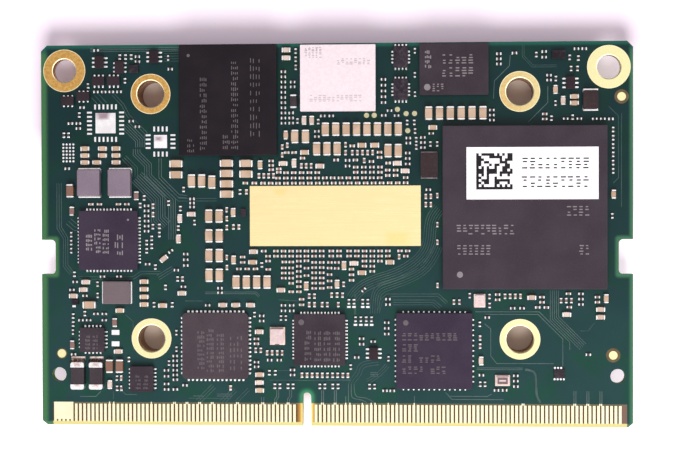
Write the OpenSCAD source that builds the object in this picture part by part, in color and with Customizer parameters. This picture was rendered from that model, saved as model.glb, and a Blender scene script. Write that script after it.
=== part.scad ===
// System on module: a bare circuit card with an edge contact row, chips on both faces and plated fixing holes.
// Millimetres. X runs along the contact edge, Y towards the plain edge, Z up from the spacers' lower ends.

/* [Board] */
// Width along the contact edge
board_w = 69.6; // [68.4:0.1:74]
// Depth from the contact edge to the plain edge
board_d = 45; // [44.4:0.1:50]
// Thickness of the laminate
board_t = 1.2; // [0.8:0.05:1.6]
// Chamfer of the two corners at the plain edge
top_chamfer = 0.7; // [0.3:0.1:1]
// Chamfer of the two corners at the contact edge
bottom_chamfer = 0.55; // [0.3:0.05:0.7]
// How far the bevel of the contact edge reaches in from the edge
bevel_reach = 0.45; // [0.2:0.05:0.6]
// How deep that bevel cuts into each face
bevel_drop = 0.3; // [0.1:0.05:0.35]

/* [Edge contacts] */
// Distance from contact to contact
contact_pitch = 0.5; // [0.45:0.01:0.5]
// Width of one contact
contact_w = 0.32; // [0.25:0.01:0.4]
// Length of one contact
contact_len = 2.1; // [1.8:0.05:2.3]
// Bare strip between the contacts and the edge
contact_setback = 0.45; // [0.4:0.05:0.6]
// Contacts left of the key
left_contacts = 58; // [50:1:58]
// Contacts right of the key
right_contacts = 72; // [60:1:72]
// Contacts at the left end that are joined in one wide contact
joined_contacts = 5; // [2:1:8]
// How much higher the wide contact reaches
joined_rise = 0.2; // [0:0.05:0.3]
// Metal standing above the laminate: contacts, rings and bare pads
metal_t = 0.05; // [0.03:0.01:0.08]

/* [Key and latch notches] */
// Key notch: its centre from the middle of the card
key_x = -3.27; // [-3.6:0.01:-3]
// Key notch: width
key_w = 1; // [0.8:0.05:1.1]
// Key notch: height from the contact edge to its round end
key_h = 3.95; // [3.5:0.05:4.2]
// From the key's centre to the first contact on its left
key_to_left = 1.48; // [1.3:0.02:1.6]
// From the key's centre to the first contact on its right
key_to_right = 1.07; // [0.9:0.01:1.2]
// Latch notches: depth from the side edge
latch_depth = 1.65; // [1.2:0.05:1.7]
// Latch notches: height along the side edge
latch_h = 4.05; // [3:0.05:4.4]
// Latch notches: corner radius
latch_r = 0.5; // [0.3:0.05:0.7]
// Latch notches: their middle above the contact edge
latch_up = 19.95; // [19.5:0.05:20.4]

/* [Fixing holes] */
// Corner holes: radius of the plated bore
corner_hole_r = 1.38; // [1.1:0.02:1.6]
// Corner holes: radius of the plated ring
corner_ring_r = 2.52; // [2:0.02:2.6]
// Corner holes: centre from the side edge
corner_inset_x = 2.8; // [2.7:0.05:3]
// Corner holes: centre from the plain edge
corner_inset_y = 3; // [2.7:0.05:3.1]
// Cooler holes: radius of the plated bore
cooler_hole_r = 1.6; // [1.2:0.05:1.75]
// Cooler holes: radius of the plated ring
cooler_ring_r = 2.37; // [2.2:0.01:2.4]
// Cooler holes: distance along X
cooler_dx = 43.4; // [43:0.1:43.8]
// Cooler holes: distance along Y
cooler_dy = 28.9; // [28.6:0.1:29.2]
// Wall of the plating inside the bores
plating_t = 0.12; // [0.1:0.01:0.2]
// Chamfer of the plating at the mouth of a bore
lip = 0.09; // [0.04:0.01:0.1]
// Chamfer of the outer edge of a plated ring
ring_edge = 0.03; // [0.01:0.005:0.03]
// Height of the spacers under the cooler holes
spacer_h = 2.5; // [2.2:0.1:4]
// Outer radius of the spacers
spacer_r = 2.3; // [2.05:0.05:2.37]
// Tooling holes: radius
tooling_r = 0.85; // [0.6:0.05:1]
// Tooling holes: centre from the side edge
tooling_inset = 1.9; // [1.8:0.05:2]
// Tooling holes: centre above the contact edge
tooling_up = 6; // [5.6:0.1:6.4]
// Tooling holes: shift of both to the right
tooling_shift = 0.13; // [0:0.01:0.2]

/* [Bare pads] */
// Thermal pad: width
pad_w = 20.1; // [18:0.1:20.4]
// Thermal pad: depth
pad_d = 7.07; // [6:0.05:7.1]
// Radius of a fiducial
fiducial_r = 0.5; // [0.3:0.05:0.6]
// Radius of a test pad
test_pad_r = 0.3; // [0.2:0.01:0.4]
// Thickness of the solder on lands without a chip
land_t = 0.06; // [0.03:0.01:0.1]

/* [Ball packages] */
// Height of the solder balls under a package
ball_h = 0.25; // [0.15:0.05:0.4]
// Radius of a solder ball
ball_r = 0.2; // [0.12:0.01:0.24]
// Distance from ball to ball
ball_pitch = 0.8; // [0.65:0.05:1]
// Clear rim between the outer balls and the package's edge
ball_rim = 0.6; // [0.5:0.05:1]
// Rows of balls round the package
ball_rows = 2; // [1:1:3]
// Coprocessor: side
coprocessor_w = 19; // [18:0.1:19.2]
// Coprocessor: thickness of the package
coprocessor_t = 1.2; // [0.8:0.05:1.8]
// Storage flash: width
storage_w = 11.5; // [10:0.1:11.6]
// Storage flash: depth
storage_d = 13; // [11:0.1:13.05]
// Storage flash: thickness of the package
storage_t = 0.75; // [0.6:0.05:1.2]
// Boot flash: width
boot_w = 8; // [7:0.1:8.2]
// Boot flash: depth
boot_d = 6; // [5:0.1:6.2]
// Boot flash: thickness of the package
boot_t = 0.75; // [0.6:0.05:1.1]
// Processor under the thermal pad: side
processor_w = 23; // [20:0.5:25]
// Processor: thickness of the package
processor_t = 1.6; // [1:0.1:1.7]
// Memory package: width
memory_w = 14.5; // [12:0.5:15]
// Memory package: depth
memory_d = 10; // [8:0.5:10.5]
// Memory package: thickness
memory_t = 0.65; // [0.5:0.05:1]
// Gap between the two memory packages
memory_gap = 1; // [0.5:0.1:2]
// Gap between the processor and the memory packages
memory_clear = 1.75; // [1:0.25:3]
// Label: width
label_w = 15.2; // [12:0.1:16]
// Label: depth
label_d = 6.05; // [5:0.05:8]
// Label: thickness
label_t = 0.06; // [0.04:0.01:0.1]

/* [Radio module] */
// Width
radio_w = 8.8; // [8:0.1:9]
// Depth
radio_d = 7.75; // [7:0.05:7.9]
// Thickness of the metallised body
radio_t = 1; // [0.8:0.05:1.4]
// Height of its lands
radio_land_h = 0.1; // [0.05:0.01:0.2]
// Width of its lands
radio_land_w = 0.45; // [0.3:0.05:0.6]

/* [No-lead packages] */
// Thickness of the lead frame
lead_t = 0.2; // [0.1:0.02:0.25]
// How far a lead and its solder stand out of the package
lead_out = 0.28; // [0.15:0.01:0.3]
// How far a lead reaches in under the package
lead_in = 0.35; // [0.2:0.05:0.4]
// Height of the moulded package above the lead frame
package_t = 0.65; // [0.4:0.05:0.9]
// Power controller: side
power_w = 7; // [6.5:0.05:7.1]
// Power controller: lead pitch
power_pitch = 0.404; // [0.36:0.002:0.42]
// Network chip: side
network_w = 7.8; // [7.5:0.05:7.9]
// Network chip: corner radius of its punched body
network_r = 0.5; // [0.3:0.05:0.6]
// Network chip: lead pitch
network_pitch = 0.5; // [0.45:0.005:0.51]
// Hub chip: side
hub_w = 8.9; // [8.5:0.05:9]
// Hub chip: lead pitch
hub_pitch = 0.603; // [0.55:0.003:0.61]
// Hub chip: how far its leads stand out
hub_lead_out = 0.21; // [0.15:0.01:0.3]
// Display bridge: side
bridge_w = 6; // [5.6:0.05:6.1]
// Display bridge: lead pitch
bridge_pitch = 0.402; // [0.36:0.002:0.42]
// Regulator: side
regulator_w = 2.9; // [2.7:0.05:3]
// Load driver: width
driver_w = 2.75; // [2.4:0.05:2.8]
// Load driver: depth
driver_d = 3; // [2.8:0.05:3.1]
// Lead pitch of the regulator and the load driver
small_pitch = 0.45; // [0.4:0.01:0.46]
// Signal switch: width
switch_w = 1.7; // [1.6:0.05:1.8]
// Signal switch: depth
switch_d = 2.5; // [2.4:0.05:2.6]
// Signal switch: lead pitch
switch_pitch = 0.42; // [0.38:0.01:0.43]
// Width of the leads of the small packages
small_lead_w = 0.2; // [0.15:0.01:0.25]
// Transistor package: width of the body
transistor_w = 1.05; // [0.9:0.05:1.1]
// Transistor package: depth of the body
transistor_d = 1.5; // [1.35:0.05:1.55]
// Transistor package: height of the body above its leads
transistor_t = 0.45; // [0.3:0.05:0.6]
// Transistor package: thickness of the leads
transistor_lead_t = 0.12; // [0.08:0.01:0.15]
// Height of the wafer-size chips
wafer_t = 0.4; // [0.3:0.05:0.6]

/* [Inductors] */
// Power inductors: width
power_inductor_w = 2.65; // [2.4:0.05:2.8]
// Power inductors: depth
power_inductor_d = 3.15; // [2.9:0.05:3.2]
// Power inductors: height
power_inductor_h = 1.2; // [0.8:0.05:1.5]
// Flat inductor: width
flat_inductor_w = 3.2; // [3:0.05:3.3]
// Flat inductor: depth
flat_inductor_d = 2.65; // [2.4:0.05:2.7]
// Flat inductor: height
flat_inductor_h = 1; // [0.7:0.05:1.3]
// Clip of the wound inductors: thickness of its plate
clip_t = 0.18; // [0.1:0.01:0.2]
// Clip of the wound inductors: height on the end face
clip_h = 0.55; // [0.3:0.05:0.65]
// Chip inductors: width
chip_inductor_w = 1.6; // [1.4:0.05:1.7]
// Chip inductors: length
chip_inductor_l = 3.2; // [3:0.05:3.3]
// Chip inductors: height
chip_inductor_h = 1.3; // [0.9:0.05:1.6]
// Chip inductors: length of an end cap
chip_inductor_cap = 0.6; // [0.4:0.05:0.8]
// Chip inductors: corner radius of an end cap
chip_inductor_r = 0.25; // [0.15:0.05:0.3]
// Black inductors: height
black_inductor_h = 0.95; // [0.7:0.05:1.2]
// Black inductors: corner radius
black_inductor_r = 0.28; // [0.15:0.01:0.35]

/* [Crystals] */
// Height of the ceramic base
crystal_base_h = 0.4; // [0.3:0.05:0.6]
// Height of the metal lid
crystal_lid_h = 0.25; // [0.15:0.05:0.35]
// Rim of the base outside the lid
crystal_rim = 0.14; // [0.08:0.01:0.2]

/* [Chip capacitors and resistors] */
// Large size: length
large_l = 1.6; // [1.5:0.02:1.64]
// Large size: width
large_w = 0.88; // [0.75:0.01:0.92]
// Large size: height
large_h = 0.8; // [0.6:0.05:1]
// Middle size: length
middle_l = 1.06; // [0.96:0.02:1.1]
// Middle size: width
middle_w = 0.58; // [0.48:0.01:0.6]
// Middle size: height
middle_h = 0.5; // [0.4:0.05:0.6]
// Small size: length
small_l = 0.66; // [0.58:0.01:0.68]
// Small size: width
small_w = 0.32; // [0.26:0.01:0.34]
// Small size: height
small_h = 0.3; // [0.2:0.02:0.36]
// Share of the length that each end cap of a large part takes
large_cap_share = 0.14; // [0.1:0.01:0.3]
// Share of the length that each end cap of a middle part takes
middle_cap_share = 0.18; // [0.1:0.01:0.3]
// Share of the length that each end cap of a small part takes
small_cap_share = 0.31; // [0.24:0.01:0.36]
// Set-back of the ceramic behind the faces of its end caps
ceramic_inset = 0.02; // [0.01:0.005:0.03]
// Height of the solder toe on the end caps, as a share of the height
toe_share = 0.5; // [0.3:0.05:0.7]
// Reach of the solder toe outside the large and middle end caps
toe_reach = 0.06; // [0.02:0.01:0.08]

/* [Hidden] */
$fn = 48;
eps = 0.01;

board_z = spacer_h + metal_t;
top_z = board_z + board_t;
edge_y = -board_d / 2;
plain_y = board_d / 2;
left_x = -board_w / 2;
right_x = board_w / 2;

// The chip layout hangs from the plain edge, and its zero lies this far below that edge
layout_drop = 22.5;
layout_y = plain_y - layout_drop;

// Centre of the thermal pad, of the cooler holes and of the processor, in the layout
cooler_y = 2.25;
pad_top = cooler_y + pad_d / 2;
pad_low = cooler_y - pad_d / 2;

// A run of contacts: its last contact on the left of the key and its first on the right
left_last_x = key_x - key_to_left;
right_first_x = key_x + key_to_right;
left_first_x = left_last_x - (left_contacts - 1) * contact_pitch;

// Places of single chips in the layout: x, y
coprocessor_at = [22.2, 3.2];
storage_at = [-12.42, 15.88];
boot_at = [14.05, 19.3];
radio_at = [0.52, 18.36];
power_at = [-26.7, -0.57];
network_at = [-14.02, -13.02];
hub_at = [11.7, -13.55];
bridge_at = [-1.71, -12.27];
regulator_at = [-28.68, -12.33];
driver_at = [-22.78, -16.95];
switch_at = [[7.85, 20.8], [7.85, 17.0]];
label_at = [0.88, 3.95];

// Transistor packages: x, y, turn, how far their leads stand out
transistor_at = [
    [-27.75, 20.45, 0, 0.42], [-21.25, 21.05, 0, 0.42], [-25.35, 19.85, 0, 0.28], [27.55, 17.65, 0, 0.42],
    [4.6, -13.9, 0, 0.42], [-27.87, 18.25, 90, 0.27], [-26.07, 18.25, 90, 0.27], [-29.7, 16.45, 90, 0.18],
    [-31.55, 15.92, 90, 0.18]
];

// Wafer-size chips: x, y, width, depth
wafer_at = [
    [-23.65, 19.65, 1.1, 0.9], [26.2, 20.95, 1.6, 1.0], [-10.72, 2.65, 0.6, 0.9],
    [26.25, -16.2, 1.2, 1.02], [-30.75, -7.87, 0.8, 0.6]
];

// Wound inductors and crystals: x, y
power_inductor_at = [[-28.96, 6.22], [-25.3, 6.22]];
flat_inductor_at = [-25.7, -6.75];
chip_inductor_at = [[-30.34, -16.55], [-28.14, -16.55]];

// Black inductors: x, y, width, depth
black_inductor_at = [[29.85, 15.65, 1.75, 2.2], [11.16, 8.16, 2, 2.8]];

// Crystals: x, y, width, depth
crystal_at = [[-6.7, -11.85, 1.78, 2.08], [17.0, -7.68, 1.32, 1.56], [19.65, -17.0, 1.72, 1.25]];

// Fiducials: side (-1 left, 1 right), inset from that side, y in the layout
fiducial_at = [[1, 1.33, 16.05], [1, 2.3, -14.05], [-1, 2.35, -14]];

// Test pads: x, y
test_pad_at = [[3.83, 14.02], [4.73, 14.02], [7.45, 14.7], [8.47, 14.2], [9.45, 14.2], [8.65, 12.2]];

// Runs of chip parts: x, y, columns, rows, column step, row step, turn. Turn 0 lies along X.
large_runs = [
    [-0.98, 12.38, 8, 1, 1.22, 0, 90], [11.1, 14.2, 6, 1, 1.26, 0, 90], [-4.58, 11.55, 2, 1, 1.27, 0, 90],
    [-2, 10.1, 3, 1, 1.2, 0, 90], [6.35, 9.85, 2, 1, 1.2, 0, 90], [-18.6, 7.15, 1, 2, 0, 1.3, 0],
    [-16.78, 6.4, 2, 1, 1.2, 0, 90], [-14.38, 6.25, 1, 1, 0, 0, 90], [-12.62, 4.85, 1, 4, 0, 1.21, 0],
    [-10.32, 7.2, 1, 2, 0, 1.25, 0], [-14.75, -4.7, 2, 4, 1.22, 2.32, 90], [-11.55, -5.5, 4, 1, 1.22, 0, 90],
    [-31.25, 5.28, 1, 1, 0, 0, 90], [-29, -8.2, 1, 1, 0, 0, 0], [-26.65, -15.45, 2, 1, 1.2, 0, 90]
];
bead_runs = [[-4.72, 15.68, 1, 1, 0, 0, 90]];
middle_runs = [
    [-29.5, 8.63, 1, 3, 0, 0.82, 0], [-28.08, 8.63, 1, 1, 0, 0, 0], [-27.4, 9.45, 1, 2, 0, 0.82, 0],
    [-25.78, 8.63, 1, 3, 0, 0.82, 0], [-22.5, -8.15, 1, 4, 0, 0.9, 0], [-25.4, -8.87, 1, 1, 0, 0, 0],
    [-20.3, -8.27, 1, 1, 0, 0, 0], [-8.7, 8.27, 1, 1, 0, 0, 90], [-3.43, 9.72, 1, 1, 0, 0, 0],
    [-5.65, 11.75, 1, 1, 0, 0, 90], [3.3, 10.52, 2, 1, 1.5, 0, 0], [11.58, 12.55, 1, 1, 0, 0, 0],
    [28, 15.3, 1, 2, 0, 0.76, 0], [25.82, 16.87, 1, 1, 0, 0, 90], [32.5, 4.7, 1, 1, 0, 0, 90],
    [-11.9, 2.68, 1, 1, 0, 0, 90], [-11.87, -2.9, 1, 1, 0, 0, 90], [-9.6, -3.17, 1, 1, 0, 0, 0],
    [-3.3, -5.97, 1, 1, 0, 0, 90], [1.15, -3.57, 1, 1, 0, 0, 90], [3.27, -4.4, 1, 1, 0, 0, 0],
    [6.55, -3.17, 1, 1, 0, 0, 0], [31.65, -7.42, 1, 1, 0, 0, 90], [-8.82, -18.25, 1, 2, 0, 1.85, 0]
];
pale_runs = [
    [-5.58, 20.8, 1, 2, 0, 0.93, 0], [-3.5, 13.45, 2, 1, 0.9, 0, 90], [26.7, 15.6, 1, 1, 0, 0, 90],
    [-5.97, 8.43, 1, 1, 0, 0, 0], [-4.7, 8.45, 1, 1, 0, 0, 90], [-1.65, 8.1, 1, 1, 0, 0, 0],
    [7.43, 8.4, 1, 1, 0, 0, 0], [8.35, 7.5, 1, 1, 0, 0, 0], [-16.85, 2.5, 1, 1, 0, 0, 0],
    [-18.23, 1.98, 1, 1, 0, 0, 90], [-18.4, -0.42, 1, 1, 0, 0, 90], [-20.15, -2.75, 1, 1, 0, 0, 40],
    [-18, -6.82, 1, 1, 0, 0, 0], [-9.5, -1.93, 1, 1, 0, 0, 0], [-13.15, -8.22, 2, 1, 1.53, 0, 0],
    [-9.87, -8.22, 1, 1, 0, 0, 0], [-6.28, -6.45, 1, 1, 0, 0, 0], [2.33, -3.3, 1, 1, 0, 0, 0],
    [0.33, -5.75, 1, 1, 0, 0, 90], [-8.85, -11.35, 1, 1, 0, 0, 0], [23.05, -7.3, 1, 1, 0, 0, 0],
    [27.1, -9.27, 1, 1, 0, 0, 0], [31, -9.58, 1, 2, 0, 0.9, 0], [17.15, -14.72, 1, 1, 0, 0, 90],
    [-23.4, 4.67, 1, 1, 0, 0, 90], [-31.1, 2.87, 1, 1, 0, 0, 90], [-26.05, -10.3, 1, 1, 0, 0, 90],
    [-25.62, -13.72, 1, 1, 0, 0, 0], [-26.65, -17.65, 1, 1, 0, 0, 90], [-31.1, -12.95, 1, 1, 0, 0, 90],
    [-29.45, -5.5, 1, 1, 0, 0, 0], [-29.75, -6.4, 1, 1, 0, 0, 0], [-8.85, -17.33, 1, 1, 0, 0, 0],
    [-30.95, -7.15, 1, 1, 0, 0, 0]
];

// Small capacitors that follow the two long edges of the thermal pad
pad_runs = [
    [-6.6, pad_top + 0.33, 17, 1, 0.9375, 0, 0], [-8.37, pad_top + 0.34, 2, 1, 0.9, 0, 0],
    [-10.45, pad_top + 0.36, 2, 1, 1.05, 0, 0], [-6.6, pad_top + 0.93, 14, 1, 0.92, 0, 0],
    [8.4, pad_top + 0.94, 1, 1, 0, 0, 0], [-5.65, pad_top + 1.56, 5, 1, 0.92, 0, 0],
    [-6.87, pad_low - 1.18, 7, 2, 0.9, 0.6, 0], [-0.35, pad_low - 1.18, 2, 2, 0.92, 0.6, 0],
    [1.75, pad_low - 1.18, 6, 2, 0.91, 0.6, 0], [7.72, pad_low - 0.58, 2, 1, 0.9, 0, 0]
];
small_runs = [
    [-6.5, 7.4, 1, 2, 0, 0.4, 0], [2.55, 7.36, 4, 2, 0.95, 0.6, 0], [6.3, 6.98, 1, 2, 0, 0.62, 0],
    [7.23, 6.98, 1, 2, 0, 0.62, 0], [1.35, 9.65, 1, 2, 0, 0.93, 90], [2.15, 9.65, 5, 1, 0.6, 0, 90],
    [2.15, 10.45, 1, 1, 0, 0, 0], [5.35, 9.1, 1, 2, 0, 0.6, 0], [-3.85, 8.13, 3, 1, 0.58, 0, 90],
    [-8.85, 6.98, 4, 1, 0.57, 0, 90], [0.25, 8.8, 1, 1, 0, 0, 0], [2.52, 8.8, 1, 1, 0, 0, 0],
    [3.55, 8.72, 1, 1, 0, 0, 90], [4.4, 8.62, 1, 1, 0, 0, 0], [6.35, 8.42, 1, 1, 0, 0, 0],
    [-7.4, 7.7, 1, 3, 0, 0.52, 0], [-6.1, 9.43, 1, 2, 0, 0.93, 90], [-5.5, 10.55, 1, 1, 0, 0, 90],
    [-5.55, 9.7, 2, 1, 0.86, 0, 0], [-3.7, 9.05, 1, 1, 0, 0, 0], [-8.3, -1.87, 1, 1, 0, 0, 0],
    [-7.8, -3.05, 1, 2, 0, 0.58, 0], [8.4, -2.47, 1, 1, 0, 0, 0], [7.62, -2.55, 1, 1, 0, 0, 90],
    [-5.95, -5.05, 1, 3, 0, 0.6, 0], [-5.08, -5.65, 1, 4, 0, 0.6, 0], [-5.08, -6.65, 1, 1, 0, 0, 0],
    [-5.88, -3.15, 2, 1, 0.82, 0, 0], [-4.17, -6.65, 1, 7, 0, 0.6, 0], [-3.27, -4.75, 1, 3, 0, 0.87, 0],
    [-2.37, -6.25, 2, 6, 0.9, 0.61, 0], [-0.55, -6.15, 1, 4, 0, 0.76, 0], [-0.5, -3.2, 2, 1, 0.82, 0, 0],
    [0.3, -3.9, 1, 1, 0, 0, 0], [3.55, -3.65, 1, 2, 0, 0.6, 0], [4.47, -4.25, 1, 3, 0, 0.6, 0],
    [5.37, -3.05, 1, 1, 0, 0, 0], [2.03, -5.3, 1, 3, 0, 0.65, 0], [1.08, -5.78, 1, 1, 0, 0, 90],
    [-0.33, -7.05, 3, 1, 0.65, 0, 90], [-2.97, -8.17, 2, 2, 0.62, 1, 90], [-1.45, -8.17, 2, 1, 0.62, 0, 90],
    [0.45, -8.17, 1, 1, 0, 0, 90], [-3.85, -8.2, 1, 2, 0, 0.66, 0], [-3.85, -16.47, 10, 1, 0.602, 0, 90],
    [-10.8, -3.2, 1, 2, 0, 0.64, 0], [-11.25, -3.97, 3, 1, 0.98, 0, 0], [-7.78, -4.03, 1, 1, 0, 0, 0],
    [-12.68, 0.9, 1, 3, 0, 1.05, 90], [-12.68, -3.8, 1, 2, 0, 1.18, 90], [-11.9, 0.97, 2, 1, 0.65, 0, 90],
    [10.75, 3.55, 2, 2, 0.6, 0.95, 90], [12.1, 1.2, 1, 1, 0, 0, 90], [12.1, 4.6, 1, 1, 0, 0, 90],
    [12.1, -0.85, 1, 1, 0, 0, 90], [12.1, -5.9, 1, 1, 0, 0, 90], [14, -7.85, 2, 1, 0.65, 0, 90],
    [19.1, -7.57, 1, 2, 0, 0.62, 0], [19.95, -7.17, 4, 1, 0.6, 0, 90], [24.25, -7.85, 1, 2, 0, 0.6, 0],
    [23.75, -8.45, 2, 1, 1, 0, 0], [26.45, -7.67, 3, 1, 0.6, 0, 90], [27.3, -6.85, 1, 1, 0, 0, 0],
    [27.4, -8.43, 1, 1, 0, 0, 0], [30.65, -7.85, 1, 2, 0, 0.6, 0], [24.58, 13.45, 1, 2, 0, 0.6, 0],
    [-28.85, 3.68, 2, 1, 1.03, 0, 0], [-25.55, 3.68, 2, 1, 1, 0, 0], [-21.45, 2.45, 1, 2, 0, 1, 90],
    [-17.97, -5.15, 1, 1, 0, 0, 90], [-25.3, -18.1, 1, 2, 0, 1.2, 90],
    [-9.3, -13.55, 2, 1, 0.6, 0, 90], [-7.95, -13.85, 4, 1, 0.6, 0, 90], [-9.2, -12.78, 1, 2, 0, 0.57, 0],
    [17.03, -13, 1, 2, 0, 0.95, 90], [-12.3, -18, 1, 1, 0, 0, 90], [-10.35, 5.1, 1, 1, 0, 0, 90]
];
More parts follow.
